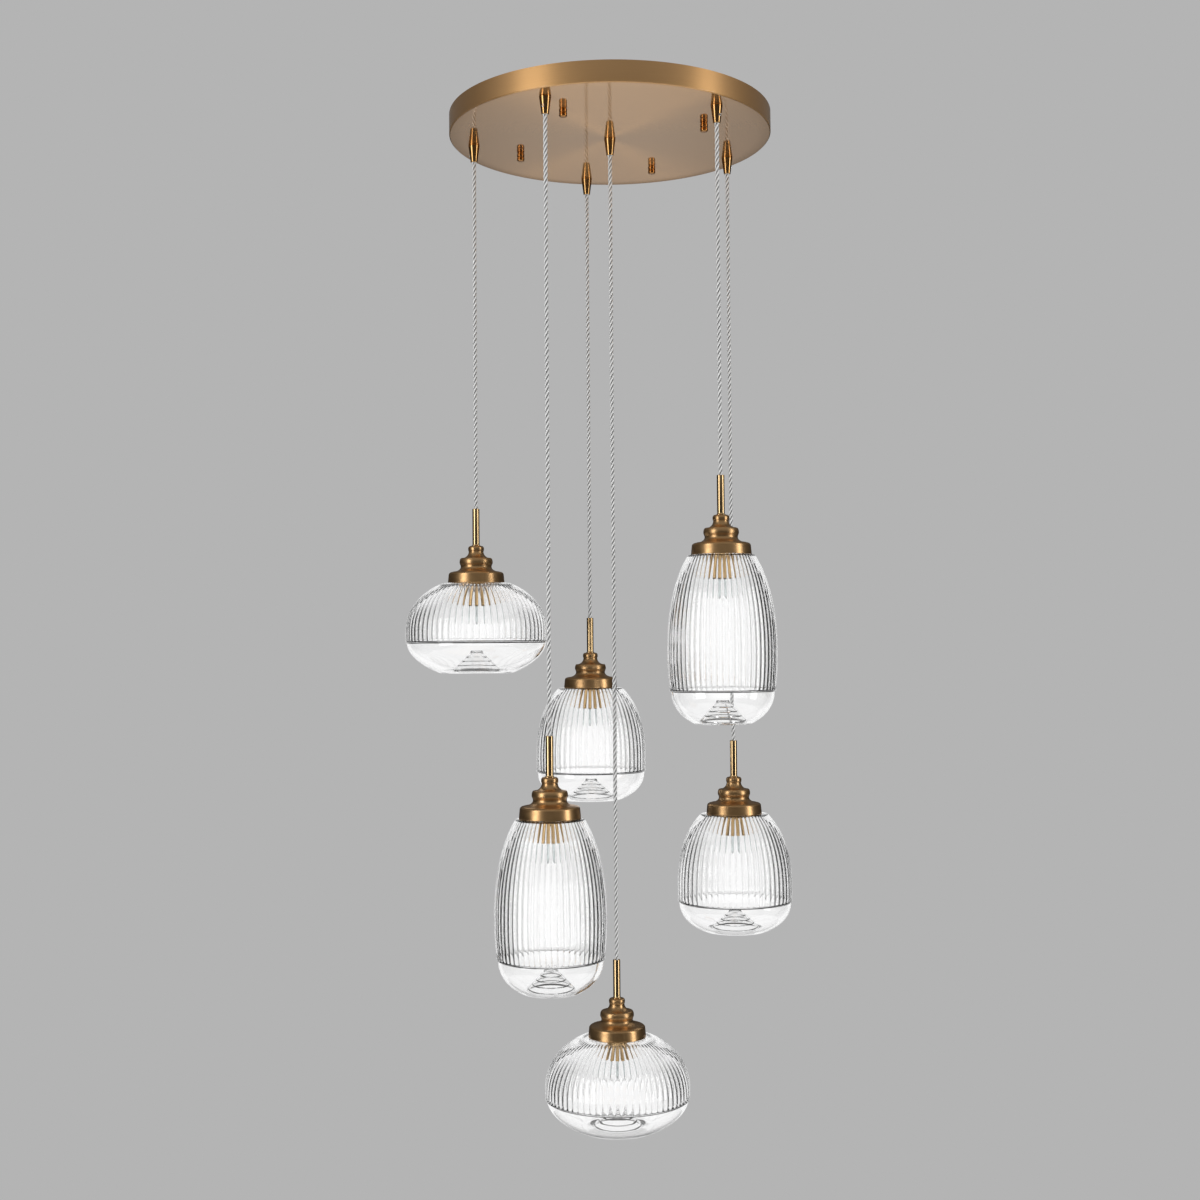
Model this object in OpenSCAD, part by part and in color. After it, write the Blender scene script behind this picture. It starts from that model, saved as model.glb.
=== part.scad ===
// Cluster pendant light: six ribbed glass shades hang at staggered heights from one round canopy.
// Millimetres, +Z up. The origin is on the ceiling, on the canopy's axis, and the front faces -Y.
// Lamp 1 hangs from the middle. Lamps 2 to 6 hang from a circle, counted anticlockwise from above.

/* [Canopy] */
// Diameter of the canopy
canopy_d = 450; // [430:1:480]
// Depth of the canopy, from the ceiling to its bottom face
canopy_h = 29; // [27:0.5:45]
// Thickness of the canopy's sheet
canopy_wall = 1.5; // [1:0.1:2.5]
// Bevel round the canopy's lower edge
canopy_bevel = 1.2; // [0.5:0.1:2]

/* [Ceiling bracket] */
// Thickness of the bracket's plate
bracket_t = 2; // [1.5:0.1:3]
// Width of the bracket's arms
arm_w = 25; // [20:1:35]
// Reach of each arm past its stud
arm_end = 13; // [9:0.5:18]
// Diameter of the disc at the middle of the bracket
hub_d = 112; // [108:1:130]
// Hole for the supply cable
supply_hole_d = 20; // [14:1:24]
// Circle of the four holes for the ceiling screws
bolt_circle_d = 180; // [150:1:220]
// Holes for the ceiling screws
bolt_hole_d = 5.5; // [4:0.1:7]
// Circle of the four studs that carry the canopy
stud_circle_d = 286; // [280:1:292]
// Direction of the first stud, in degrees from +X
stud_angle = 64.4; // [62:0.1:67]
// Diameter of a stud
stud_d = 5; // [4:0.1:6]
// Across the flats of the nut that locks a stud
stud_nut_af = 8; // [7.5:0.1:10]
// Thickness of the nut that locks a stud
stud_nut_h = 4; // [3:0.1:5]

/* [Thumb nuts] */
// Diameter of a thumb nut's two beads
thumb_d = 10.6; // [10:0.1:14]
// Diameter of the neck that meets the canopy
thumb_neck_d = 9; // [8:0.1:9.2]
// Height of the neck
thumb_neck_h = 1; // [0.6:0.1:1.6]
// Height of the upper bead
thumb_bead_h = 4.6; // [4:0.1:5]
// Height of the whole nut
thumb_h = 12; // [11.4:0.1:16]
// Depth of the threaded hole
thumb_thread_l = 8.5; // [7:0.1:9.5]
// Depth of the groove between the beads
thumb_groove = 0.9; // [0.7:0.1:1.2]

/* [Cord grips] */
// Distance from the canopy's edge to the axes of the five outer grips
grip_margin = 30; // [28:0.5:34]
// Direction of the grip of lamp 2, in degrees from +X
grip_angle = 28.6; // [26:0.1:30]
// Height of a grip below the canopy
grip_h = 24.5; // [22:0.5:32]
// Diameter of a grip against the canopy
grip_top_d = 15.8; // [14:0.1:20]
// Diameter of a grip at its mouth
grip_tip_d = 9.8; // [9.4:0.1:12]
// Straight land at the top of a grip
grip_land = 1.4; // [0.5:0.1:3]
// Bevel at the mouth of a grip
grip_bevel = 0.5; // [0.2:0.1:0.7]
// Diameter of the threaded nipple that goes through the canopy
nipple_d = 10; // [9:0.1:12]
// Length of the nipple above the canopy's bottom face
nipple_l = 9.5; // [7:0.1:11]
// Across the flats of the nipple's locknut
locknut_af = 14; // [13:0.1:17]
// Thickness of the locknut
locknut_h = 3; // [2:0.1:4]
// Length of the nylon bush in the mouth
bush_l = 16; // [14:0.5:18]
// Wall of the nylon bush
bush_wall = 0.6; // [0.5:0.05:0.8]
// Diameter of the set screw
screw_d = 4; // [3:0.1:4.5]
// Height of the set screw below the canopy
screw_drop = 14; // [11:0.1:17]
// How far the set screw stands out of the cone
screw_proud = 0.5; // [0:0.1:1.5]
// Across the flats of the set screw's socket
screw_key = 2; // [1.5:0.1:2.2]

/* [Cords] */
// Diameter of a cord
cord_d = 6; // [5:0.1:6.4]
// Free length of cord 1, from the grip's mouth to the top of the stem
cord_length_1 = 1122; // [900:1:1500]
// Free length of cord 2
cord_length_2 = 826; // [600:1:860]
// Free length of cord 3
cord_length_3 = 645; // [500:1:700]
// Free length of cord 4
cord_length_4 = 494; // [350:1:560]
// Free length of cord 5
cord_length_5 = 805; // [650:1:860]
// Free length of cord 6
cord_length_6 = 467; // [350:1:560]

/* [Stem and cap] */
// Diameter of the stem
stem_d = 10; // [9:0.1:12]
// Length of stem in view
stem_l = 50; // [30:1:90]
// Length of the stem's thread in the lampholder
stem_thread_l = 8; // [6:0.5:12]
// Diameter of the stem's foot where it meets the cap
foot_d = 13.2; // [12.4:0.1:15]
// Height of the stem's foot
foot_h = 2.5; // [1.5:0.1:4]
// Thickness of the spun cap
cap_wall = 1; // [0.8:0.05:1.2]
// Diameter of the cap's small bead
bead_d = 22.2; // [21.4:0.1:24]
// Height of the small bead
bead_h = 7.5; // [6.5:0.1:9]
// Diameter of the waist under the small bead
waist_d = 20.6; // [19.6:0.1:21]
// Height of the cove under the waist
cove_h = 9.6; // [7:0.1:12]
// Reach of the cove
cove_w = 10; // [7:0.1:10.4]
// Diameter of the cap's large bead
boss_d = 46.6; // [44:0.1:49]
// Height of the large bead
boss_h = 12.1; // [11:0.1:16]
// Diameter of the neck under the large bead
neck_d = 43.4; // [41:0.1:44.4]
// Height of the flare under the neck
flare_h = 7.1; // [6:0.1:10]
// Reach of the flare
flare_w = 12; // [7:0.1:12.4]
// Rounding of the cap's shoulder
shoulder_r = 4.5; // [3:0.1:5.2]
// Diameter of the cap's skirt at its top
skirt_top_d = 77.4; // [76:0.1:79]
// Diameter of the cap's skirt at its lower edge
skirt_d = 79.8; // [79.2:0.1:83]
// Height of the straight skirt
skirt_h = 11.7; // [11:0.1:15]

/* [Lampholder and bulb] */
// Diameter of the lampholder's sleeve
sleeve_d = 28; // [26:0.1:32]
// Length of sleeve in view below the cap
sleeve_l = 31; // [26:0.5:36]
// Thickness of the sleeve
sleeve_wall = 1; // [0.8:0.05:1.5]
// Diameter of the lampholder's threaded boss
holder_boss_d = 16; // [14:0.1:16.4]
// Diameter of the flange over the glass
flange_d = 48; // [46:0.1:56]
// Thickness of the flange
flange_t = 2; // [1.5:0.1:2.2]
// How far the ceramic insert is set back in the sleeve
insert_recess = 4; // [2:0.5:6]
// Diameter of the bulb's capsule
bulb_d = 14; // [12:0.1:16]
// Length of bulb in view below the sleeve
bulb_l = 27; // [20:0.5:32]
// Width of the bulb's pinched foot
pinch_w = 10; // [9:0.1:11]
// Thickness of the bulb's pinched foot
pinch_t = 6; // [5:0.1:7]
// Length of the bulb's pinched foot
pinch_l = 14; // [12:0.5:18]

/* [Shade ring] */
// Diameter of the shade ring
ring_d = 52; // [50:0.1:60]
// Thickness of the shade ring
ring_t = 5; // [4:0.1:5.5]
// Height of the spigot that centres the glass
spigot_h = 2.6; // [2:0.1:2.8]

/* [Glass] */
// Thickness of the glass
glass_t = 3; // [2.9:0.1:4]
// Depth of the ribs
rib_depth = 1.4; // [0.8:0.1:1.8]
// Diameter of the glass neck inside the cap
glass_neck_d = 73; // [71:0.1:74]
// Height of the glass neck above the cap's lower edge
glass_neck_h = 9; // [8.6:0.1:10]
// Hole in the crown of the glass
crown_hole_d = 42; // [38:0.1:44]
// How far the lip stands out where the ribs end
lip_w = 1; // [0.5:0.1:2]
// Height of the lip
lip_h = 2; // [1.5:0.1:4]
// How far the clear dish is set in under the lip
dish_inset = 2; // [1:0.1:3]
// Height of the clear dish below the lip
dish_h = 43; // [40:0.5:55]
// Diameter of the stepped cone pushed up into the base
punt_d = 62; // [56:0.5:64]
// Height of the stepped cone
punt_h = 28; // [22:0.5:32]

/* [Round shades] */
// Greatest diameter of a round shade
round_d = 199.4; // [180:0.2:204]
// Diameter of its shoulder at the cap
round_shoulder_d = 95; // [86:1:100]
// Drop from the cap to the greatest diameter
round_belly = 70.5; // [60:0.5:74]
// Drop from the cap to the lip
round_lip = 83.5; // [80:0.5:92]
// Diameter of the flat base
round_base_d = 100; // [80:1:120]
// Number of ribs on a round shade
round_ribs = 72; // [60:2:72]

/* [Middle shades] */
// Greatest diameter of a middle shade
middle_d = 164; // [150:1:168]
// Diameter of its shoulder at the cap
middle_shoulder_d = 95; // [86:1:98]
// Drop from the cap to the greatest diameter
middle_belly = 103.5; // [95:0.5:112]
// Drop from the cap to the lip
middle_lip = 125; // [118:0.5:134]
// Diameter of the flat base
middle_base_d = 85; // [74:1:100]
// Number of ribs on a middle shade
middle_ribs = 60; // [50:2:64]

/* [Tall shades] */
// Greatest diameter of a tall shade
tall_d = 144; // [134:1:150]
// Diameter of its shoulder at the cap
tall_shoulder_d = 87; // [86:1:96]
// Drop from the cap to the greatest diameter
tall_belly = 126; // [112:0.5:134]
// Drop from the cap to the lip
tall_lip = 178; // [170:0.5:188]
// Diameter of the flat base
tall_base_d = 72; // [70:1:84]
// Number of ribs on a tall shade
tall_ribs = 60; // [50:2:64]

/* [Wiring] */
// Diameter of the stripped leads inside the canopy
lead_d = 4; // [3:0.1:4.4]
// Length of the terminal block
block_l = 48; // [46:1:56]
// Width of the terminal block
block_w = 18; // [16:0.5:22]
// Height of the terminal block
block_h = 15; // [14:0.5:16]
// Distance from the canopy's axis to the face that the leads enter
block_y = 25; // [22:0.5:27]
// Distance between the entries of the block
entry_pitch = 7; // [6.6:0.1:7.4]
// Diameter of the earth lead
earth_d = 2.4; // [2:0.1:3]
// Diameter of the earth screw
earth_screw_d = 4; // [3:0.1:5]

/* [Hidden] */
LAMPS = [1, 2, 3, 4, 5, 6];
LAMP_PARTS = ["grip_bush", "cord", "stem", "cap", "lampholder", "shade_ring", "shade", "bulb"];

// Facets of round things, and of the thin glass
$fn = 64;
glass_facets = 180;

// Running gap of the bush in its grip, gap round a cord, and gap of screws, nuts and inserts
turn_gap = 0.08;
cord_gap = 0.3;
fit_gap = 0.05;
seat_gap = 0.2;

// Places and lengths that follow from the sizes above
canopy_z = -canopy_h;
mouth_z = canopy_z - grip_h;
stud_r = stud_circle_d / 2;
grip_r = canopy_d / 2 - grip_margin;
cord_bore_r = cord_d / 2 + cord_gap;
bush_r = cord_bore_r + bush_wall;
screw_seat_r = bush_r + turn_gap + seat_gap;
cord_overlap = 2;
bead_round = 3;
cap_h = bead_h + cove_h + boss_h + flare_h + shoulder_r + skirt_h;
cord_lengths = [cord_length_1, cord_length_2, cord_length_3, cord_length_4, cord_length_5, cord_length_6];
glass_top_gap = 0.3;
crown_z = glass_neck_h - glass_t;
sleeve_r = sleeve_d / 2;
insert_r = sleeve_r - sleeve_wall - seat_gap;
chamber_z = glass_neck_h + flange_t + 1;
insert_base_z = insert_recess - sleeve_l;

// Each kind of shade: belly radius, shoulder radius, belly drop, lip drop, base radius, ribs,
// curve of the body, bands of facets down the body, curve of the dish
KINDS = [
    [round_d / 2, round_shoulder_d / 2, round_belly, round_lip, round_base_d / 2, round_ribs, 2.2, 7, 1.8],
    [middle_d / 2, middle_shoulder_d / 2, middle_belly, middle_lip, middle_base_d / 2, middle_ribs, 2.3, 7, 2.2],
    [tall_d / 2, tall_shoulder_d / 2, tall_belly, tall_lip, tall_base_d / 2, tall_ribs, 2.15, 8, 2.1]
];
// Kind of the shade of each lamp: 0 round, 1 middle, 2 tall
lamp_kinds = [0, 1, 1, 0, 2, 2];

function kind_of(i) = KINDS[lamp_kinds[i - 1]];
function lamp_angle(i) = i == 1 ? 90 : grip_angle + 72 * (i - 2);
function lamp_xy(i) = i == 1 ? [0, 0] : grip_r * [cos(lamp_angle(i)), sin(lamp_angle(i))];
function lamp_z(i) = mouth_z - cord_lengths[i - 1] - stem_l - foot_h - cap_h;

// Points of an elliptical arc about (x, y), from one angle to another
function arc(x, y, rx, ry, from, to, n = 6) =
    [for (k = [0:n]) let (a = from + (to - from) * k / n) [x + rx * cos(a), y + ry * sin(a)]];

// A profile moved in by a wall's thickness, square to the line at each point
function across(a, b) = let (d = (b - a) / norm(b - a)) [-d[1], d[0]];
function inset(points, wall) =
    [for (k = [1:len(points) - 2])
        let (n = across(points[k - 1], points[k]) + across(points[k], points[k + 1]))
        points[k] - wall * n / norm(n)];

// Turns a profile about the Z axis
module turned(points, facets = 96) {
    rotate_extrude($fn = facets) polygon(points);
}

module at_grips() {
    for (i = LAMPS) translate([lamp_xy(i)[0], lamp_xy(i)[1], 0]) rotate([0, 0, lamp_angle(i)]) children();
}

module at_studs() {
    for (k = [0:3]) rotate([0, 0, stud_angle + 90 * k]) translate([stud_r, 0, 0]) children();
}

// A lamp's own frame has its origin on its axis, level with the lower edge of its cap
module at_lamp(i) {
    translate([lamp_xy(i)[0], lamp_xy(i)[1], lamp_z(i)]) children();
}

module canopy() {
    r = canopy_d / 2;
    color("darkgoldenrod") difference() {
        turned([
            [0, canopy_z], [r - canopy_bevel, canopy_z], [r, canopy_z + canopy_bevel], [r, 0],
            [r - canopy_wall, 0], [r - canopy_wall, canopy_z + canopy_wall], [0, canopy_z + canopy_wall]
        ]);
        at_grips() translate([0, 0, canopy_z - 1]) cylinder(d = nipple_d + 2 * fit_gap, h = canopy_wall + 2);
        at_studs() translate([0, 0, canopy_z - 1]) cylinder(d = stud_d + 2 * seat_gap, h = canopy_wall + 2);
    }
}

// Two crossed arms and a hub, flat against the ceiling
module ceiling_bracket() {
    reach = stud_r + arm_end;
    color("silver") difference() {
        translate([0, 0, -bracket_t]) linear_extrude(bracket_t) union() {
            circle(d = hub_d);
            for (k = [0, 1]) rotate(stud_angle + 90 * k) {
                square([2 * reach - arm_w, arm_w], center = true);
                for (s = [-1, 1]) translate([s * (reach - arm_w / 2), 0]) circle(d = arm_w);
            }
        }
        translate([0, 0, -bracket_t - 1]) cylinder(d = supply_hole_d, h = bracket_t + 2);
        for (k = [0:3]) rotate([0, 0, stud_angle + 90 * k]) translate([bolt_circle_d / 2, 0, -bracket_t - 1])
            cylinder(d = bolt_hole_d, h = bracket_t + 2);
        at_studs() translate([0, 0, -bracket_t - 1]) cylinder(d = stud_d + 2 * fit_gap, h = bracket_t + 2);
        in_block_frame() translate([earth_spot[0], earth_spot[1], -bracket_t - 1])
            cylinder(d = earth_screw_d + 2 * fit_gap, h = bracket_t + 2);
    }
}

module bracket_studs() {
    bottom = canopy_z - thumb_thread_l + 1;
    color("gainsboro") at_studs() translate([0, 0, bottom]) cylinder(d = stud_d, h = -bottom);
}

module stud_nuts() {
    color("gainsboro") at_studs() translate([0, 0, -bracket_t - stud_nut_h]) difference() {
        cylinder(d = stud_nut_af / cos(30), h = stud_nut_h, $fn = 6);
        translate([0, 0, -1]) cylinder(d = stud_d + 2 * fit_gap, h = stud_nut_h + 2);
    }
}

// A turned nut: a neck, two beads with a groove between them, and a rounded end
module thumb_nuts() {
    r = thumb_d / 2;
    neck_r = thumb_neck_d / 2;
    edge = 2;
    soft = 0.6;
    groove_w = 1;
    bead_top = thumb_h - thumb_neck_h;
    bead_foot = bead_top - thumb_bead_h;
    body_top = bead_foot - groove_w;
    color("peru") at_studs() translate([0, 0, canopy_z - thumb_h]) difference() {
        turned(concat(
            [[0, 0]],
            arc(r - edge, edge, edge, edge, -90, 0, 5),
            [[r, body_top - soft], [r - soft, body_top], [r - thumb_groove, body_top]],
            [[r - thumb_groove, bead_foot], [r - soft, bead_foot], [r, bead_foot + soft]],
            [[r, bead_top - soft], [r - soft, bead_top], [neck_r, bead_top], [neck_r, thumb_h], [0, thumb_h]]
        ));
        translate([0, 0, thumb_h - thumb_thread_l])
            cylinder(d = stud_d + 2 * fit_gap, h = thumb_thread_l + 1);
    }
}

// Radius of a grip's cone at a depth below the canopy
function cone_r(drop) =
    grip_top_d / 2 - (grip_top_d - grip_tip_d) / 2 * (drop - grip_land) / (grip_h - grip_land);

// A cone under the canopy and a threaded nipple through it
module cord_grips() {
    mouth_r = bush_r + turn_gap;
    bush_top = mouth_z + bush_l + seat_gap;
    color("darkgoldenrod") at_grips() difference() {
        turned([
            [0, mouth_z], [grip_tip_d / 2 - grip_bevel, mouth_z], [grip_tip_d / 2, mouth_z + grip_bevel],
            [grip_top_d / 2, canopy_z - grip_land], [grip_top_d / 2, canopy_z], [nipple_d / 2, canopy_z],
            [nipple_d / 2, canopy_z + nipple_l], [0, canopy_z + nipple_l]
        ]);
        translate([0, 0, mouth_z - 1]) cylinder(r = mouth_r, h = bush_top - mouth_z + 1);
        translate([0, 0, mouth_z]) cylinder(r = cord_bore_r, h = grip_h + nipple_l + 1);
        translate([0, 0, canopy_z - screw_drop]) rotate([0, 90, 0])
            cylinder(d = screw_d + 2 * fit_gap, h = grip_top_d);
    }
}

module grip_screws() {
    out_r = cone_r(screw_drop) + screw_proud;
    socket_l = 1.2;
    color("gainsboro") at_grips() translate([0, 0, canopy_z - screw_drop]) rotate([0, 90, 0]) difference() {
        translate([0, 0, screw_seat_r]) cylinder(d = screw_d, h = out_r - screw_seat_r);
        translate([0, 0, out_r - socket_l]) cylinder(d = screw_key / cos(30), h = socket_l + 1, $fn = 6);
    }
}

module grip_locknuts() {
    color("silver") at_grips() translate([0, 0, canopy_z + canopy_wall]) difference() {
        cylinder(d = locknut_af / cos(30), h = locknut_h, $fn = 6);
        translate([0, 0, -1]) cylinder(d = nipple_d + 2 * fit_gap, h = locknut_h + 2);
    }
}

// The block hangs under the bracket's hub; the leads enter the face that looks at the canopy's axis
module terminal_block() {
    hole_l = 6;
    screw_hole_d = 3.4;
    color("ivory") in_block_frame() difference() {
        translate([-block_l / 2, block_y, -bracket_t - block_h]) cube([block_l, block_w, block_h]);
        for (i = LAMPS) translate([entry_x(i), block_y + block_w / 2, -bracket_t - block_h - 1])
            cylinder(d = screw_hole_d, h = hole_l);
    }
}

// The block's frame: its +Y points at the first stud
module in_block_frame() {
    rotate([0, 0, stud_angle - 90]) children();
}

// Leads: each leaves its nipple upwards, swings to one side and comes round into the block
lead_z = -bracket_t - block_h * 0.6;
lead_top_z = canopy_z + nipple_l + cord_overlap;
lead_rise = 6;
lead_steps = 9;
// Entry of each lamp's lead, counted along the block, and how far its lead swings to one side
lead_entries = [-0.5, 2.5, -2.5, -1.5, 0.5, 1.5];
lead_swings = [0, -30, 30, 30, 60, -30];
// How far in front of the block each lead starts its turn into it
lead_turns = [9, 60, 60, 60, 45, 60];

function entry_x(i) = lead_entries[i - 1] * entry_pitch;
function spin(p, a) = [p[0] * cos(a) - p[1] * sin(a), p[0] * sin(a) + p[1] * cos(a)];
function bezier(a, b, c, d, t) =
    pow(1 - t, 3) * a + 3 * pow(1 - t, 2) * t * b + 3 * (1 - t) * pow(t, 2) * c + pow(t, 3) * d;

// Where a lead starts, in the block's frame
function lead_start(i) = spin(lamp_xy(i), 90 - stud_angle);

// Route of a lead in the block's frame, closer points first
function lead_route(i) =
    let (
        start = lead_start(i),
        side = spin([-sin(lamp_angle(i)), cos(lamp_angle(i))], 90 - stud_angle) * lead_swings[i - 1],
        a = [start[0], start[1], lead_top_z + cord_gap],
        b = a + [side[0], side[1], lead_rise],
        d = [entry_x(i), block_y, lead_z],
        c = d - [0, lead_turns[i - 1], 0]
    )
    [for (k = [0:lead_steps]) bezier(a, b, c, d, pow(k / lead_steps, 1.4))];

function unit(v) = v / norm(v);

// A closed tube along a path with a radius for each ring; first and last say which way its ends face
module swept_tube(path, radii, first, last, side, sides = 8) {
    end = len(path) - 1;
    points = [
        for (k = [0:end])
            let (
                t = k == 0 ? first : k == end ? last : unit(path[k + 1] - path[k - 1]),
                u = unit(cross(side, t)),
                v = cross(t, u)
            )
            for (s = [0:sides - 1])
                let (a = 360 * s / sides)
                path[k] + radii[k] * (cos(a) * u + sin(a) * v)
    ];
    faces = concat(
        [[for (s = [0:sides - 1]) s]],
        [for (k = [0:end - 1]) for (s = [0:sides - 1]) let (n = (s + 1) % sides, b = k * sides)
            [b + n, b + s, b + sides + s, b + sides + n]],
        [[for (s = [sides - 1:-1:0]) end * sides + s]]
    );
    polyhedron(points = points, faces = faces, convexity = 6);
}

// The cords' upper ends: whole cord through the grip, then the stripped lead on to the block
module inner_leads() {
    foot = mouth_z + cord_overlap + cord_gap;
    up = [0, 0, 1];
    color("whitesmoke") in_block_frame() for (i = LAMPS) {
        start = lead_start(i);
        route = lead_route(i);
        heading = unit([entry_x(i), block_y - lead_turns[i - 1]] - start);
        swept_tube(
            concat([[start[0], start[1], foot], [start[0], start[1], lead_top_z]], route),
            concat([cord_d / 2, cord_d / 2], [for (p = route) lead_d / 2]),
            up, [0, 1, 0], [heading[0], heading[1], -2]
        );
    }
}

// Place of the earth screw in the block's frame
earth_spot = [-40, -8];

// Earth lead from the end of the block to a crimped lug and its screw under the bracket's hub
module earth_lead() {
    lug_t = 1;
    lug_d = earth_screw_d + 5;
    head_h = 2.4;
    head_d = lug_d - 1.5;
    barrel_d = earth_d + 1;
    barrel_l = 7;
    steps = 6;
    start = [-block_l / 2, block_y + block_w / 2, -bracket_t - 4];
    end = [earth_spot[0], earth_spot[1] + head_d / 2 + barrel_l, -bracket_t - barrel_d / 2 - 0.1];
    path = [for (k = [0:steps]) bezier(start, start - [14, 0, 0], end + [0, 14, 0], end, k / steps)];
    color("yellowgreen") in_block_frame() {
        swept_tube(path, [for (p = path) earth_d / 2], [-1, 0, 0], [0, -1, 0], [0, 0, 1]);
        difference() {
            union() {
                translate([earth_spot[0], earth_spot[1], -bracket_t - lug_t]) cylinder(d = lug_d, h = lug_t);
                translate(end) rotate([90, 0, 0]) cylinder(d = barrel_d, h = barrel_l - seat_gap);
            }
            translate([earth_spot[0], earth_spot[1], -bracket_t - lug_t - 1])
                cylinder(d = earth_screw_d + 2 * fit_gap, h = lug_t + 2);
        }
        translate([earth_spot[0], earth_spot[1], -bracket_t - lug_t - head_h]) {
            cylinder(d = head_d, h = head_h);
            cylinder(d = earth_screw_d, h = head_h + lug_t + bracket_t);
        }
    }
}

// Nylon bush that the set screw presses on the cord
module grip_bush(i) {
    color("whitesmoke") translate([lamp_xy(i)[0], lamp_xy(i)[1], mouth_z]) difference() {
        cylinder(r = bush_r, h = bush_l);
        translate([0, 0, -1]) cylinder(r = cord_bore_r, h = bush_l + 2);
    }
}

// The cord hangs plumb, from inside the grip's mouth to the lampholder's ceramic insert
module cord(i) {
    top = mouth_z + cord_overlap;
    bottom = lamp_z(i) + chamber_z;
    color("gainsboro") translate([lamp_xy(i)[0], lamp_xy(i)[1], bottom])
        cylinder(d = cord_d, h = top - bottom);
}

// Tube with a turned foot that clamps the cap against the lampholder
module stem(i) {
    r = stem_d / 2;
    top = cap_h + foot_h + stem_l;
    bottom = cap_h - cap_wall - stem_thread_l;
    edge = 0.4;
    color("goldenrod") at_lamp(i) difference() {
        turned(concat(
            [[0, bottom], [r, bottom], [r, cap_h], [foot_d / 2, cap_h], [foot_d / 2, cap_h + edge]],
            arc(foot_d / 2, cap_h + foot_h, foot_d / 2 - r, foot_h - edge, 260, 180, 5),
            [[r, top - edge], [r - edge, top], [0, top]]
        ));
        translate([0, 0, bottom - 1]) cylinder(r = cord_bore_r, h = top - bottom + 2);
    }
}

// Outline of the cap from its top to its lower edge, as radius and height above the lower edge
function cap_outline() =
    let (
        bead_r = bead_d / 2,
        waist_r = waist_d / 2,
        boss_r = boss_d / 2,
        neck_r = neck_d / 2,
        top_r = skirt_top_d / 2,
        bead_y = cap_h - bead_h / 2,
        cove_y = cap_h - bead_h,
        boss_y = cove_y - cove_h,
        boss_top_r = waist_r + cove_w + 0.5,
        neck_y = boss_y - boss_h,
        flare_y = neck_y - flare_h
    )
    concat(
        arc(bead_r - bead_round, bead_y, bead_round, bead_h / 2, 90, 0, 5),
        arc(waist_r, bead_y, bead_r - waist_r, bead_h / 2, -15, -75, 3),
        arc(waist_r + cove_w, cove_y, cove_w, cove_h, 180, 264, 6),
        arc(boss_top_r, boss_y - boss_h / 2, boss_r - boss_top_r, boss_h / 2, 90, 0, 6),
        [for (k = [1:5])
            [neck_r + (boss_r - neck_r) * (1 + cos(36 * k)) / 2, boss_y - boss_h * (0.5 + k / 10)]],
        arc(neck_r + flare_w, neck_y, flare_w, flare_h, 190, 265, 5),
        arc(top_r - shoulder_r, skirt_h, shoulder_r, shoulder_r - 0.5, 90, 0, 5),
        [[skirt_d / 2, 0]]
    );

// A thin spun shell: the inside follows the outline at the wall's thickness
module cap(i) {
    outside = cap_outline();
    hole_r = stem_d / 2 + fit_gap;
    inside = inset(outside, cap_wall);
    last = len(inside) - 1;
    color("peru") at_lamp(i) turned(concat(
        [[hole_r, cap_h]], outside, [[skirt_d / 2 - cap_wall, 0]],
        [for (k = [last:-1:0]) inside[k]], [[hole_r, cap_h - cap_wall]]
    ));
}

// Sleeve, flange and boss in one turned piece, with a ceramic insert that holds the bulb
module lampholder(i) {
    boss_top = cap_h - cap_wall;
    boss_foot = chamber_z + 6;
    boss_r = holder_boss_d / 2;
    color("goldenrod") at_lamp(i) difference() {
        turned([
            [0, -sleeve_l], [sleeve_r, -sleeve_l], [sleeve_r, glass_neck_h], [flange_d / 2, glass_neck_h],
            [flange_d / 2, glass_neck_h + flange_t], [sleeve_r, glass_neck_h + flange_t],
            [sleeve_r, chamber_z + sleeve_wall], [boss_r, boss_foot], [boss_r, boss_top], [0, boss_top]
        ]);
        translate([0, 0, boss_top - stem_thread_l - fit_gap])
            cylinder(d = stem_d + 2 * fit_gap, h = stem_thread_l + 1);
        cylinder(r = cord_bore_r, h = boss_top);
        translate([0, 0, -sleeve_l - 1]) cylinder(r = sleeve_r - sleeve_wall, h = sleeve_l + chamber_z + 1);
    }
    color("ivory") at_lamp(i) difference() {
        translate([0, 0, insert_base_z]) cylinder(r = insert_r, h = chamber_z - insert_base_z);
        translate([0, 0, insert_base_z + pinch_l / 2 - 1]) cube(
            [pinch_w + 2 * seat_gap, pinch_t + 2 * seat_gap, pinch_l + 2], center = true);
    }
}

// Ring screwed up the sleeve: its spigot centres the glass and its face holds it against the flange
module shade_ring(i) {
    spigot_r = crown_hole_d / 2 - 2 * seat_gap;
    bottom = crown_z - ring_t;
    edge = 0.8;
    color("goldenrod") at_lamp(i) difference() {
        turned([
            [0, bottom], [ring_d / 2 - edge, bottom], [ring_d / 2, bottom + edge], [ring_d / 2, crown_z],
            [spigot_r, crown_z], [spigot_r, crown_z + spigot_h], [0, crown_z + spigot_h]
        ]);
        translate([0, 0, bottom - 1]) cylinder(r = sleeve_r + fit_gap, h = ring_t + spigot_h + 2);
    }
}

// Radius of a shade's ribbed body at a drop below the cap: an oval curve through shoulder and belly
function body_drop(k) = k[2] / pow(1 - pow(k[1] / k[0], 2), 1 / k[6]);
function body_r(k, drop) = k[0] * sqrt(1 - pow(abs(drop - k[2]) / body_drop(k), k[6]));
// The same curve one glass thickness further in
function bore_r(k, drop) =
    let (share = abs(drop - k[2]) / (body_drop(k) - glass_t))
    (k[0] - glass_t) * sqrt(max(0, 1 - pow(share, k[6])));

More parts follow.
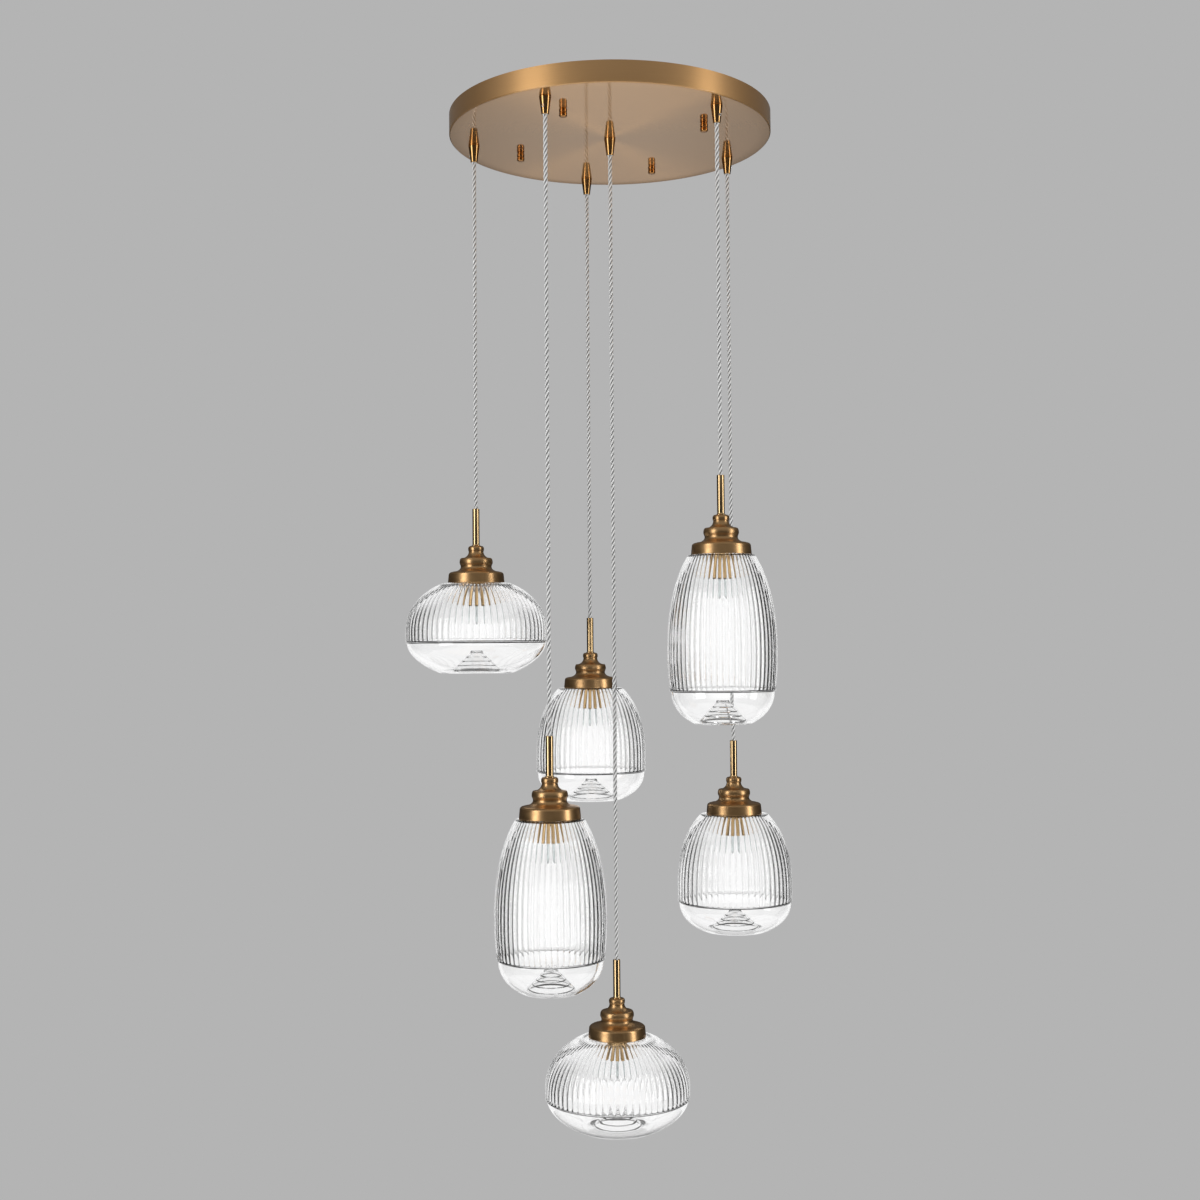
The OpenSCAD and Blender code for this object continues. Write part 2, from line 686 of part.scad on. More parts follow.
// Dish below the lip: radius at a height below the lip, for an inward offset
function lip_r(k) = body_r(k, k[3]) + lip_w;
function dish_r(k, depth, inset) =
    let (
        r = lip_r(k) - dish_inset,
        full = dish_h / pow(1 - pow(k[4] / r, k[8]), 1 / k[8])
    )
    (r - inset) * pow(max(0, 1 - pow(depth / (full - inset), k[8])), 1 / k[8]);

// Stepped cone of the base, as radius and height above the base, grown by the glass on its inside
function punt_outline(grow) =
    let (steps = 4, r = punt_d / 2, rise = punt_h / steps, tread = r / steps)
    [for (k = [0:steps - 1]) for (p = [[0, 0], [-1.2, rise * 0.8]])
        [r - tread * k + p[0] + grow, rise * k + p[1] + grow]];

// Ribs: crests and valleys in turn, from the shoulder down to the lip
module ribbed_body(k) {
    sides = 2 * k[5];
    bands = k[7];
    top = glass_top_gap;
    bottom = k[3] - lip_h / 2;
    drops = [for (b = [0:bands]) let (s = b / bands) top + (bottom - top) * (0.35 * s * s + 0.65 * s)];
    points = [for (d = drops) for (s = [0:sides - 1])
        let (r = body_r(k, d), fade = rib_depth * min(1, r / k[0] + 0.1), a = 360 * s / sides)
        [(r - (s % 2) * fade) * cos(a), (r - (s % 2) * fade) * sin(a), -d]];
    faces = concat(
        [[for (s = [0:sides - 1]) sides - 1 - s]],
        [for (b = [0:bands - 1]) for (s = [0:sides - 1]) let (n = (s + 1) % sides, f = b * sides)
            [f + s, f + n, f + sides + n, f + sides + s]],
        [[for (s = [0:sides - 1]) bands * sides + s]]
    );
    polyhedron(points = points, faces = faces, convexity = 8);
}

// Everything outside the glass below the lip's top, and the neck
module dish_and_neck(k) {
    n = 9;
    neck_r = glass_neck_d / 2;
    edge = 1;
    turned(concat(
        [[0, -k[3] - dish_h]],
        [for (j = [n:-1:0]) let (y = dish_h * sin(90 * j / n)) [dish_r(k, y, 0), -k[3] - y]],
        [[lip_r(k) - 0.4, -k[3]], [lip_r(k), -k[3] + 0.5], [lip_r(k), -k[3] + lip_h], [0, -k[3] + lip_h]]
    ), glass_facets);
    turned([
        [0, -glass_top_gap - 1], [neck_r, -glass_top_gap - 1], [neck_r, glass_neck_h - edge],
        [neck_r - edge, glass_neck_h], [0, glass_neck_h]
    ], glass_facets);
}

// The hollow inside the glass, from the crown down to the cone of the base
module shade_hollow(k) {
    n = 10;
    m = 7;
    neck_r = glass_neck_d / 2 - glass_t;
    top = body_top(k, neck_r);
    floor_y = dish_h - glass_t;
    land_r = dish_r(k, floor_y, glass_t);
    cone = punt_outline(glass_t);
    turned(concat(
        [[0, crown_z], [neck_r, crown_z], [neck_r, -top]],
        [for (j = [0:n]) let (d = top + (k[3] - top) * j / n) [bore_r(k, d), -d]],
        [for (j = [1:m]) let (y = floor_y * sin(90 * j / m)) [dish_r(k, y, glass_t), -k[3] - y]],
        [for (p = cone) if (p[0] < land_r) [p[0], -k[3] - dish_h + max(p[1], glass_t)]],
        [[0, -k[3] - dish_h + punt_h + glass_t]]
    ), glass_facets);
}

// Drop at which the bore of the body comes in to the bore of the neck
function body_top(k, r) =
    let (a = k[0] - glass_t)
    max(glass_t + glass_top_gap, k[2] - (body_drop(k) - glass_t) * pow(1 - pow(r / a, 2), 1 / k[6]));

module shade(i) {
    k = kind_of(i);
    color("aliceblue", 0.45) at_lamp(i) difference() {
        union() {
            ribbed_body(k);
            dish_and_neck(k);
        }
        shade_hollow(k);
        cylinder(d = crown_hole_d, h = glass_neck_h + 1);
        translate([0, 0, -k[3] - dish_h])
            turned(concat([[0, -1], [punt_d / 2, -1]], punt_outline(0), [[0, punt_h]]));
    }
}

// Capsule bulb: a pinched foot in the insert and a domed glass capsule
module bulb(i) {
    r = bulb_d / 2;
    top = insert_base_z - seat_gap;
    bottom = -sleeve_l - bulb_l;
    tip_r = 1.2;
    color("white", 0.6) at_lamp(i) union() {
        translate([-pinch_w / 2, -pinch_t / 2, top - 1]) cube([pinch_w, pinch_t, pinch_l - 2]);
        turned(concat(
            [[0, bottom]],
            arc(0, bottom + tip_r, tip_r, tip_r, -80, 0, 3),
            arc(0, bottom + r, r, r - tip_r, -70, 0, 5),
            [[r, top - 2], [r - 2, top], [0, top]]
        ));
    }
}

canopy();
ceiling_bracket();
bracket_studs();
stud_nuts();
thumb_nuts();
cord_grips();
grip_screws();
grip_locknuts();
terminal_block();
inner_leads();
earth_lead();
for (i = LAMPS) {
    grip_bush(i);
    cord(i);
    stem(i);
    cap(i);
    lampholder(i);
    shade_ring(i);
    shade(i);
    bulb(i);
}
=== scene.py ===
import math

import bmesh
import bpy
import numpy as np
from mathutils import Matrix, Vector


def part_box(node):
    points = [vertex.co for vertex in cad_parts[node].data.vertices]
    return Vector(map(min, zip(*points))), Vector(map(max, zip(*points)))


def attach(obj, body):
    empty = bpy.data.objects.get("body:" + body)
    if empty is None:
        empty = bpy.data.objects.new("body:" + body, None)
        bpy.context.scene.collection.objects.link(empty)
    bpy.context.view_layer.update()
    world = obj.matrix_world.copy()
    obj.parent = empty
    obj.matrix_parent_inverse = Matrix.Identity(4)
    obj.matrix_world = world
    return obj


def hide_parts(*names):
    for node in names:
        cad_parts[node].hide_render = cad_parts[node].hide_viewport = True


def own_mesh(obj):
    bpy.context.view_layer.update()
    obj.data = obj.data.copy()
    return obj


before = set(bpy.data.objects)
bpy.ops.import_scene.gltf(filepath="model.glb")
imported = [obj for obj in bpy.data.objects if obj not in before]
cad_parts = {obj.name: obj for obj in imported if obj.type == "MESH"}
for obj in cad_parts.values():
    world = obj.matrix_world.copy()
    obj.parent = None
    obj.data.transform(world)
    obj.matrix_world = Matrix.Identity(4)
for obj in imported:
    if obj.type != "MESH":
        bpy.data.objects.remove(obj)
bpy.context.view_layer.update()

MM = 0.001
LAMPS = range(1, 7)
ROUND, MIDDLE, TALL = "round", "middle", "tall"
SHADE_OF = {1: ROUND, 2: MIDDLE, 3: MIDDLE, 4: ROUND, 5: TALL, 6: TALL}


# Places that the frame gives, in metres

def middle_of(node):
    low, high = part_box(node)
    return (low + high) / 2


def axis_of(lamp):
    """The lamp's plumb axis, as x and y."""
    middle = middle_of(f"cord_{lamp}")
    return middle.x, middle.y


def rim_of(lamp):
    """Height of the lower edge of the lamp's cap."""
    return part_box(f"cap_{lamp}")[0].z


CANOPY_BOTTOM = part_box("canopy")[0].z


# Camera and light

# Lens in millimetres, place in metres, turns in degrees
LENS_MM = 48.84
CAMERA_AT = Vector((0.0, -2.2653, -0.7603))
CAMERA_YAW = 0.48
CAMERA_PITCH = 2.07
CAMERA_ROLL = -0.457


def make_camera():
    data = bpy.data.cameras.new("camera")
    data.lens = LENS_MM
    data.sensor_width = 36
    camera = bpy.data.objects.new("camera", data)
    bpy.context.scene.collection.objects.link(camera)
    turn = Matrix.Rotation(math.radians(CAMERA_YAW), 4, "Z")
    turn = turn @ Matrix.Rotation(math.radians(90 + CAMERA_PITCH), 4, "X")
    turn = turn @ Matrix.Rotation(math.radians(CAMERA_ROLL), 4, "Z")
    camera.matrix_world = Matrix.Translation(CAMERA_AT) @ turn
    bpy.context.scene.camera = camera


make_camera()
bpy.context.scene.view_settings.view_transform = "Standard"


# Colours and nodes

def srgb(code, alpha=1.0):
    """An sRGB hex colour as linear values."""
    values = [int(code[k:k + 2], 16) / 255 for k in (0, 2, 4)]
    return [v / 12.92 if v <= 0.04045 else ((v + 0.055) / 1.055) ** 2.4 for v in values] + [alpha]


def add(tree, kind, inputs=None, **settings):
    """Adds a node with its settings; an input is a value, or the socket that feeds it."""
    node = tree.nodes.new(kind)
    for key, value in settings.items():
        setattr(node, key, value)
    for key, value in (inputs or {}).items():
        if isinstance(value, bpy.types.NodeSocket):
            tree.links.new(value, node.inputs[key])
        else:
            node.inputs[key].default_value = value
    return node


def new_material(name):
    """An empty node material and its tree."""
    material = bpy.data.materials.new(name)
    material.use_nodes = True
    material.node_tree.nodes.clear()
    return material, material.node_tree


def finish_with(tree, shader, **outputs):
    links = {"Surface": shader.outputs[0], **outputs}
    add(tree, "ShaderNodeOutputMaterial", links)


def make_world():
    """A grey backdrop, a white screen seen through the glass, and a dim studio for the metal."""
    world = bpy.data.worlds.new("studio")
    bpy.context.scene.world = world
    world.use_nodes = True
    tree = world.node_tree
    tree.nodes.clear()
    rays = add(tree, "ShaderNodeLightPath").outputs
    way = add(tree, "ShaderNodeTexCoord").outputs["Generated"]
    part = add(tree, "ShaderNodeSeparateXYZ", {0: way}).outputs

    sideways = add(tree, "ShaderNodeMath", {0: part["X"]}, operation="ABSOLUTE").outputs[0]
    level = {"sideways": sideways, "back": part["Y"], "up": part["Z"], "darkest": 0.035}
    # Smooth steps between two levels: the direction followed, where it starts and ends, and the levels
    for name, followed, low, high, at_low, at_high in (
        # The glass shows a tall white screen behind the light, a pale one in front and dark sides
        ("screen width", "sideways", 0.55, 0.88, 1.0, 0.02),
        ("screen behind", "back", 0.1, 0.6, 0.02, 1.0),
        ("screen in front", "back", -0.92, -0.6, 1.0, 0.02),
        # Metal shows a dark studio, a pale ground at the back and a dim ceiling that is lighter in front
        ("ground height", "up", -0.38, -0.14, 0.58, 0.05),
        ("ground depth", "back", 0.0, 0.5, 0.3, 1.0),
        ("ground width", "sideways", 0.0, 0.2, 1.0, 0.3),
        ("ceiling height", "up", 0.1, 0.35, 0.05, 0.32),
        ("ceiling depth", "back", -0.3, 0.3, 1.0, 0.35),
    ):
        level[name] = add(tree, "ShaderNodeMapRange", {
            "Value": level[followed], "From Min": low, "From Max": high, "To Min": at_low, "To Max": at_high,
        }, interpolation_type="SMOOTHSTEP").outputs[0]
    for name, operation, first, second in (
        ("screen", "MINIMUM", "screen width", "screen behind"),
        ("through", "MAXIMUM", "screen", "screen in front"),
        ("ground at the back", "MULTIPLY", "ground height", "ground depth"),
        ("ground", "MULTIPLY", "ground at the back", "ground width"),
        ("ceiling", "MULTIPLY", "ceiling height", "ceiling depth"),
        ("room", "MAXIMUM", "ground", "ceiling"),
        ("around", "MAXIMUM", "room", "darkest"),
    ):
        level[name] = add(tree, "ShaderNodeMath", {0: level[first], 1: level[second]},
                          operation=operation).outputs[0]

    seen = add(tree, "ShaderNodeBackground", {"Color": srgb("B4B4B4"), "Strength": 1.0}).outputs[0]
    glass = add(tree, "ShaderNodeBackground", {"Color": level["through"], "Strength": 1.0}).outputs[0]
    metal = add(tree, "ShaderNodeBackground", {"Color": level["around"], "Strength": 1.0}).outputs[0]
    fill = add(tree, "ShaderNodeBackground", {"Color": srgb("FFFFFF"), "Strength": 0.62}).outputs[0]
    out = add(tree, "ShaderNodeMixShader", {0: rays["Is Glossy Ray"], 1: fill, 2: metal}).outputs[0]
    # Only the glass is smooth enough for singular rays
    clear = add(tree, "ShaderNodeMath", {
        0: rays["Is Transmission Ray"], 1: rays["Is Singular Ray"],
    }, operation="MAXIMUM").outputs[0]
    out = add(tree, "ShaderNodeMixShader", {0: clear, 1: out, 2: glass}).outputs[0]
    out = add(tree, "ShaderNodeMixShader", {0: rays["Is Camera Ray"], 1: out, 2: seen}).outputs[0]
    add(tree, "ShaderNodeOutputWorld", {"Surface": out})


# Height of the pendant's middle, at which the soft panels look, in metres
MIDDLE_Z = -0.7


def softbox(name, bearing, height, distance, width, tall, power):
    """A nearly upright soft panel, with its place and size in metres.

    Its bearing is in degrees from the camera's side, clockwise from above.
    """
    data = bpy.data.lights.new(name, "AREA")
    data.shape = "RECTANGLE"
    data.size = width
    data.size_y = tall
    data.energy = power
    lamp = bpy.data.objects.new(name, data)
    bpy.context.scene.collection.objects.link(lamp)
    a = math.radians(bearing)
    place = Vector((-math.sin(a) * distance, -math.cos(a) * distance, height))
    aim = Vector((0, 0, MIDDLE_Z)) - place
    aim.z *= 0.3
    lamp.matrix_world = Matrix.Translation(place) @ aim.to_track_quat("-Z", "Y").to_matrix().to_4x4()


make_world()
softbox("softbox_left", bearing=51, height=-0.62, distance=2.6, width=1.0, tall=2.5, power=24)
softbox("softbox_right", bearing=-68, height=-0.62, distance=2.8, width=0.75, tall=2.5, power=21)


def make_floor():
    material, tree = new_material("matt pale floor paint")
    shader = add(tree, "ShaderNodeBsdfPrincipled", {"Base Color": srgb("F0F0F0"), "Roughness": 0.8})
    finish_with(tree, shader)
    mesh = bpy.data.meshes.new("studio_floor")
    # The floor's radius and height are in metres
    count, radius, height = 96, 2.2, -2.45
    angles = [2 * math.pi * k / count for k in range(count)]
    ring = [(radius * math.cos(a), radius * math.sin(a), height) for a in angles]
    mesh.from_pydata(ring, [], [list(range(count))])
    mesh.materials.append(material)
    floor = bpy.data.objects.new("studio_floor", mesh)
    bpy.context.scene.collection.objects.link(floor)


make_floor()


# Mesh tools

def arc(x, y, rx, ry, start, end, n=12):
    """Points of an elliptical arc, angles in degrees."""
    angles = [math.radians(start + (end - start) * k / n) for k in range(n + 1)]
    return [(x + rx * math.cos(a), y + ry * math.sin(a)) for a in angles]


def rounded(corners, steps=4):
    """A profile whose corners (x, y, radius) become arcs; a radius of 0 keeps the corner."""
    out = []
    for k, (x, y, radius) in enumerate(corners):
        here = Vector((x, y))
        if radius == 0 or k in (0, len(corners) - 1):
            out.append((x, y))
            continue
        before = Vector(corners[k - 1][:2]) - here
        after = Vector(corners[k + 1][:2]) - here
        half = before.angle(after) / 2
        back = min(radius / math.tan(half), 0.49 * before.length, 0.49 * after.length)
        a, b = here + before.normalized() * back, here + after.normalized() * back
        for s in range(steps + 1):
            t = s / steps
            point = a * (1 - t) ** 2 + here * 2 * t * (1 - t) + b * t ** 2
            out.append((point.x, point.y))
    return out


# What a millimetre along a profile takes of the UV map, of which only the directions are used
UV_ALONG = 0.01


def lathe(profile, steps=128, closed=False, strength=None):
    """A mesh turned from a profile in millimetres about the Z axis.

    The attribute "turned" holds what brushed finishes follow: the angle as a circle, and the way along
    the profile. The optional strength of each profile point goes into the attribute "rib".
    """
    count = len(profile)
    along = [0.0]
    for k in range(1, count):
        along.append(along[-1] + math.dist(profile[k - 1], profile[k]))
    points, turned, ribs, rows = [], [], [], []
    for k, (r, z) in enumerate(profile):
        on_axis = r < 1e-6
        row = []
        for s in range(1 if on_axis else steps):
            a = 2 * math.pi * s / steps
            row.append(len(points))
            points.append((r * math.cos(a) * MM, r * math.sin(a) * MM, z * MM))
            turned.append((math.cos(a), math.sin(a), along[k] * MM))
            ribs.append(strength[k] if strength else 0.0)
        rows.append(row)
    faces, corners = [], []
    last = count if closed else count - 1
    for k in range(last):
        low, high = rows[k], rows[(k + 1) % count]
        if len(low) == 1 and len(high) == 1:
            continue
        for s in range(steps):
            n = (s + 1) % steps
            u0, u1 = s / steps, (s + 1) / steps
            v0, v1 = along[k], along[(k + 1) % count]
            if len(low) == 1:
                faces.append((low[0], high[n], high[s]))
                corners.append(((u0, v0), (u1, v1), (u0, v1)))
            elif len(high) == 1:
                faces.append((low[s], low[n], high[0]))
                corners.append(((u0, v0), (u1, v0), (u0, v1)))
            else:
                faces.append((low[s], low[n], high[n], high[s]))
                corners.append(((u0, v0), (u1, v0), (u1, v1), (u0, v1)))
    mesh = bpy.data.meshes.new("turned")
    mesh.from_pydata(points, [], faces)
    uv = mesh.uv_layers.new(name="round")
    uv.data.foreach_set("uv", [c for face in corners for u, v in face for c in (u, v * UV_ALONG)])
    mesh.attributes.new("turned", "FLOAT_VECTOR", "POINT").data.foreach_set("vector", np.ravel(turned))
    if strength:
        mesh.attributes.new("rib", "FLOAT", "POINT").data.foreach_set("value", ribs)
    return mesh


def facing_out(mesh):
    shape = bmesh.new()
    shape.from_mesh(mesh)
    bmesh.ops.recalc_face_normals(shape, faces=shape.faces)
    shape.to_mesh(mesh)
    shape.free()


def smooth(mesh, angle=30):
    mesh.shade_smooth()
    mesh.set_sharp_from_angle(angle=math.radians(angle))


def joined(meshes):
    """One mesh from several, each with its material index kept."""
    shape = bmesh.new()
    for mesh in meshes:
        shape.from_mesh(mesh)
    out = bpy.data.meshes.new("joined")
    shape.to_mesh(out)
    shape.free()
    return out


def piece(name, mesh, material, body, node=None, at=(0, 0, 0), angle=30, turn_out=True):
    """Puts a finished mesh in its place as a piece that rides on a body.

    Where turn_out is off, its faces already look the right way.
    """
    mesh.transform(Matrix.Translation(at))
    if turn_out:
        facing_out(mesh)
    smooth(mesh, angle)
    mesh.name = name
    mesh.materials.clear()
    mesh.materials.append(material)
    thing = bpy.data.objects.new(name, mesh)
    bpy.context.scene.collection.objects.link(thing)
    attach(thing, body)
    if node:
        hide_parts(node)
    return thing


# Geometry node trees

def new_tree(name, inputs):
    """A geometry tree with its input and output nodes; inputs are (name, socket kind, value)."""
    tree = bpy.data.node_groups.new(name, "GeometryNodeTree")
    tree.interface.new_socket("Geometry", in_out="INPUT", socket_type="NodeSocketGeometry")
    tree.interface.new_socket("Geometry", in_out="OUTPUT", socket_type="NodeSocketGeometry")
    for label, kind, value in inputs:
        socket = tree.interface.new_socket(label, in_out="INPUT", socket_type=kind)
        if value is not None:
            socket.default_value = value
    return tree, add(tree, "NodeGroupInput").outputs


def repeat_tree():
    """Sets copies of one turned piece on points, each turned by the point's own angle."""
    tree, given = new_tree("repeat_on_points", [
        ("Piece", "NodeSocketObject", None), ("Finish", "NodeSocketMaterial", None),
    ])
    source = add(tree, "GeometryNodeObjectInfo", {"Object": given["Piece"]}).outputs["Geometry"]
    turn = add(tree, "GeometryNodeInputNamedAttribute", {"Name": "turn"}, data_type="FLOAT").outputs[0]
    about = add(tree, "ShaderNodeCombineXYZ", {"Z": turn}).outputs[0]
    rotation = add(tree, "FunctionNodeEulerToRotation", {0: about}).outputs[0]
    copies = add(tree, "GeometryNodeInstanceOnPoints", {
        "Points": given["Geometry"], "Instance": source, "Rotation": rotation,
    }).outputs[0]
    real = add(tree, "GeometryNodeRealizeInstances", {0: copies}).outputs[0]
    done = add(tree, "GeometryNodeSetMaterial", {"Geometry": real, "Material": given["Finish"]}).outputs[0]
    add(tree, "NodeGroupOutput", {0: done})
    return tree


# The higher, the broader the crests and the narrower the valleys
VALLEY_SHARPNESS = 3.0


def flute_tree():
    """Presses ribs into a turned wall: broad crests and narrow valleys, as deep as each point asks."""
    tree, given = new_tree("press_ribs", [
        ("Ribs", "NodeSocketInt", 60), ("Depth", "NodeSocketFloat", 1.5 * MM),
        ("Finish", "NodeSocketMaterial", None),
    ])

    place = add(tree, "GeometryNodeInputPosition").outputs[0]
    part = add(tree, "ShaderNodeSeparateXYZ", {0: place}).outputs
    strength = add(tree, "GeometryNodeInputNamedAttribute", {"Name": "rib"}, data_type="FLOAT").outputs[0]
    value = {
        "x": part["X"], "y": part["Y"], "ribs": given["Ribs"], "depth": given["Depth"], "strength": strength,
        "full turn": 2 * math.pi, "half a rib": 0.5, "one": 1.0, "two": 2.0, "sharpness": VALLEY_SHARPNESS,
        "inwards": -1.0,
    }
    # Where an operation takes one value, the second isn't read
    for name, operation, first, second in (
        ("angle", "ARCTAN2", "y", "x"),
        ("share", "DIVIDE", "angle", "full turn"),
        ("turn", "MULTIPLY", "share", "ribs"),
        ("shifted", "ADD", "turn", "half a rib"),
        ("step", "FRACT", "shifted", "one"),
        ("doubled", "MULTIPLY", "step", "two"),
        # From -1 in one valley through 0 on the crest to 1 in the next valley
        ("off crest", "SUBTRACT", "doubled", "one"),
        ("distance", "ABSOLUTE", "off crest", "one"),
        ("valley", "POWER", "distance", "sharpness"),
        ("full dip", "MULTIPLY", "strength", "depth"),
        ("dip", "MULTIPLY", "valley", "full dip"),
        ("move", "MULTIPLY", "dip", "inwards"),
    ):
        value[name] = add(tree, "ShaderNodeMath", {0: value[first], 1: value[second]},
                          operation=operation).outputs[0]
    flat = add(tree, "ShaderNodeCombineXYZ", {"X": part["X"], "Y": part["Y"]}).outputs[0]
    outward = add(tree, "ShaderNodeVectorMath", {0: flat}, operation="NORMALIZE").outputs[0]
    offset = add(tree, "ShaderNodeVectorMath", {0: outward, "Scale": value["move"]},
                 operation="SCALE").outputs[0]
    pressed = add(tree, "GeometryNodeSetPosition", {
        "Geometry": given["Geometry"], "Offset": offset,
    }).outputs[0]
    real = add(tree, "GeometryNodeRealizeInstances", {0: pressed}).outputs[0]
    done = add(tree, "GeometryNodeSetMaterial", {"Geometry": real, "Material": given["Finish"]}).outputs[0]
    add(tree, "NodeGroupOutput", {0: done})
    return tree


def grown(mesh, tree, values):
    """The mesh that a geometry tree makes from a mesh; the modifier and its object don't stay."""
    seed = bpy.data.objects.new("seed", mesh)
    bpy.context.scene.collection.objects.link(seed)
    modifier = seed.modifiers.new("grow", "NODES")
    modifier.node_group = tree
    sockets = {s.name: s.identifier for s in tree.interface.items_tree if s.in_out == "INPUT"}
    for label, value in values.items():
        modifier[sockets[label]] = value
    bpy.context.view_layer.update()
    made = bpy.data.meshes.new_from_object(seed.evaluated_get(bpy.context.evaluated_depsgraph_get()))
    seed.modifiers.clear()
    bpy.data.objects.remove(seed)
    return made


def repeated(mesh, places, material):
    """Copies of a mesh on places, each (x, y, z, turn about Z in radians)."""
    points = bpy.data.meshes.new("places")
    points.from_pydata([p[:3] for p in places], [], [])
    points.attributes.new("turn", "FLOAT", "POINT").data.foreach_set("value", [p[3] for p in places])
    facing_out(mesh)
    master = bpy.data.objects.new("master", mesh)
    bpy.context.scene.collection.objects.link(master)
    made = grown(points, REPEAT, {"Piece": master, "Finish": material})
    bpy.data.objects.remove(master)
    return made


REPEAT = repeat_tree()
PRESS_RIBS = flute_tree()


# Metals

# Roughness changes in bands of this many brush lines
LINES_PER_BAND = 14


def brushed(tree, spacing_mm, breaks):
    """Fine brush lines round a turned piece, a real spacing apart; more breaks make them shorter."""
    follow = add(tree, "ShaderNodeAttribute", attribute_name="turned").outputs["Vector"]
    scaled = add(tree, "ShaderNodeMapping", {
        "Vector": follow, "Scale": (breaks, breaks, 1000 / spacing_mm),
    }).outputs[0]
    return add(tree, "ShaderNodeTexNoise", {"Vector": scaled, "Scale": 1.0, "Detail": 2.0}).outputs[0]


def turned_metal(name, colour, dark, roughness, spread, spacing_mm, bump, anisotropy):
    """Metal with lathe or brush lines round its axis.

    Line spacing is a real size; finer lines than the camera resolves are kept as roughness.
    """
    material, tree = new_material(name)
    lines = brushed(tree, spacing_mm, breaks=5.0)
    broad = brushed(tree, spacing_mm * LINES_PER_BAND, breaks=2.0)
    tint = add(tree, "ShaderNodeMix", {"Factor": lines, "A": srgb(colour), "B": srgb(dark)},
               data_type="RGBA").outputs["Result"]
    rough = add(tree, "ShaderNodeMapRange", {
        "Value": broad, "From Min": 0.3, "From Max": 0.7,
        "To Min": roughness - spread, "To Max": roughness + spread,
    }).outputs[0]
    relief = add(tree, "ShaderNodeBump", {
        "Height": lines, "Strength": bump, "Distance": 0.02 * MM,
    }).outputs[0]
    round_way = add(tree, "ShaderNodeTangent", direction_type="UV_MAP", uv_map="round").outputs[0]
    shader = add(tree, "ShaderNodeBsdfPrincipled", {
        "Base Color": tint, "Metallic": 1.0, "Roughness": rough, "Anisotropic": anisotropy,
        "Anisotropic Rotation": 0.25, "Normal": relief, "Tangent": round_way,
    })
    finish_with(tree, shader)
    return material


def sheet_brass(name, colour, dark, side_starts):
    """Sheet brass under clear lacquer: its bottom is a brushed mirror, its side has a coarser brush.

    The side starts at a length along the turned profile, in metres.
    """
    material, tree = new_material(name)
    lines = brushed(tree, spacing_mm=0.5, breaks=5.0)
    tint = add(tree, "ShaderNodeMix", {"Factor": lines, "A": srgb(colour), "B": srgb(dark)},
               data_type="RGBA").outputs["Result"]
    follow = add(tree, "ShaderNodeAttribute", attribute_name="turned").outputs["Vector"]
    along = add(tree, "ShaderNodeSeparateXYZ", {0: follow}).outputs["Z"]
    rough = add(tree, "ShaderNodeMapRange", {
        "Value": along, "From Min": side_starts, "From Max": side_starts + 0.5 * MM,
        "To Min": 0.07, "To Max": 0.5,
    }).outputs[0]
    round_way = add(tree, "ShaderNodeTangent", direction_type="UV_MAP", uv_map="round").outputs[0]
    lacquer = {"Coat Weight": 1.0, "Coat Roughness": 0.04}
    mirror = add(tree, "ShaderNodeBsdfPrincipled", {
        "Base Color": tint, "Metallic": 1.0, "Roughness": rough, **lacquer,
    }).outputs[0]
    glow = add(tree, "ShaderNodeBsdfPrincipled", {
        "Base Color": tint, "Metallic": 1.0, "Roughness": 0.45, "Anisotropic": 0.9,
        "Anisotropic Rotation": 0.25, "Tangent": round_way, **lacquer,
    }).outputs[0]
    finish_with(tree, add(tree, "ShaderNodeMixShader", {0: 0.4, 1: mirror, 2: glow}))
    return material


# Spun brass, satin brushed on the lathe: wide soft highlights and a dark middle
SPUN_BRASS = turned_metal(
    "spun brass, satin brushed", "D4AC7C", "BE9665",
    roughness=0.34, spread=0.04, spacing_mm=0.35, bump=0.1, anisotropy=0.4,
)
# Brass turned and polished: narrow bright strips
POLISHED_BRASS = turned_metal(
    "turned brass, polished", "E8C898", "E0BC86",
    roughness=0.12, spread=0.004, spacing_mm=0.4, bump=0.01, anisotropy=0.0,
)
# Turned from bar like the stems, but with a polish a little less than a mirror's
GRIP_BRASS = turned_metal(
    "turned brass of the grips, polished", "D2A66C", "C6985E",
    roughness=0.14, spread=0.01, spacing_mm=0.4, bump=0.02, anisotropy=0.0,
)
# Copper-rich brass of the small turned nuts
NUT_BRASS = turned_metal(
    "turned red brass, polished", "C48C50", "B07A42",
    roughness=0.14, spread=0.03, spacing_mm=0.4, bump=0.02, anisotropy=0.0,
)
# Satin turned brass of the sleeve and its ring, seen through the glass
SLEEVE_BRASS = turned_metal(
    "turned brass, satin", "DCBC8E", "CEAA78",
    roughness=0.34, spread=0.03, spacing_mm=0.5, bump=0.05, anisotropy=0.4,
)


def plain_metal(name, colour, roughness, grain_mm):
    """Metal with a fine even grain, such as plating or a machined face."""
    material, tree = new_material(name)
    where = add(tree, "ShaderNodeTexCoord").outputs["Object"]
    grain = add(tree, "ShaderNodeTexNoise", {
        "Vector": where, "Scale": 1000 / grain_mm, "Detail": 3.0,
    }).outputs[0]
    rough = add(tree, "ShaderNodeMapRange", {
        "Value": grain, "To Min": roughness - 0.06, "To Max": roughness + 0.08,
    }).outputs[0]
    relief = add(tree, "ShaderNodeBump", {
        "Height": grain, "Strength": 0.1, "Distance": 0.02 * MM,
    }).outputs[0]
    shader = add(tree, "ShaderNodeBsdfPrincipled", {
        "Base Color": srgb(colour), "Metallic": 1.0, "Roughness": rough, "Normal": relief,
    })
    finish_with(tree, shader)
    return material


# Zinc plating on pressed steel: pale, a little blue, with a fine sparkle
ZINC = plain_metal("zinc plated steel", "C4C8CC", roughness=0.34, grain_mm=0.6)
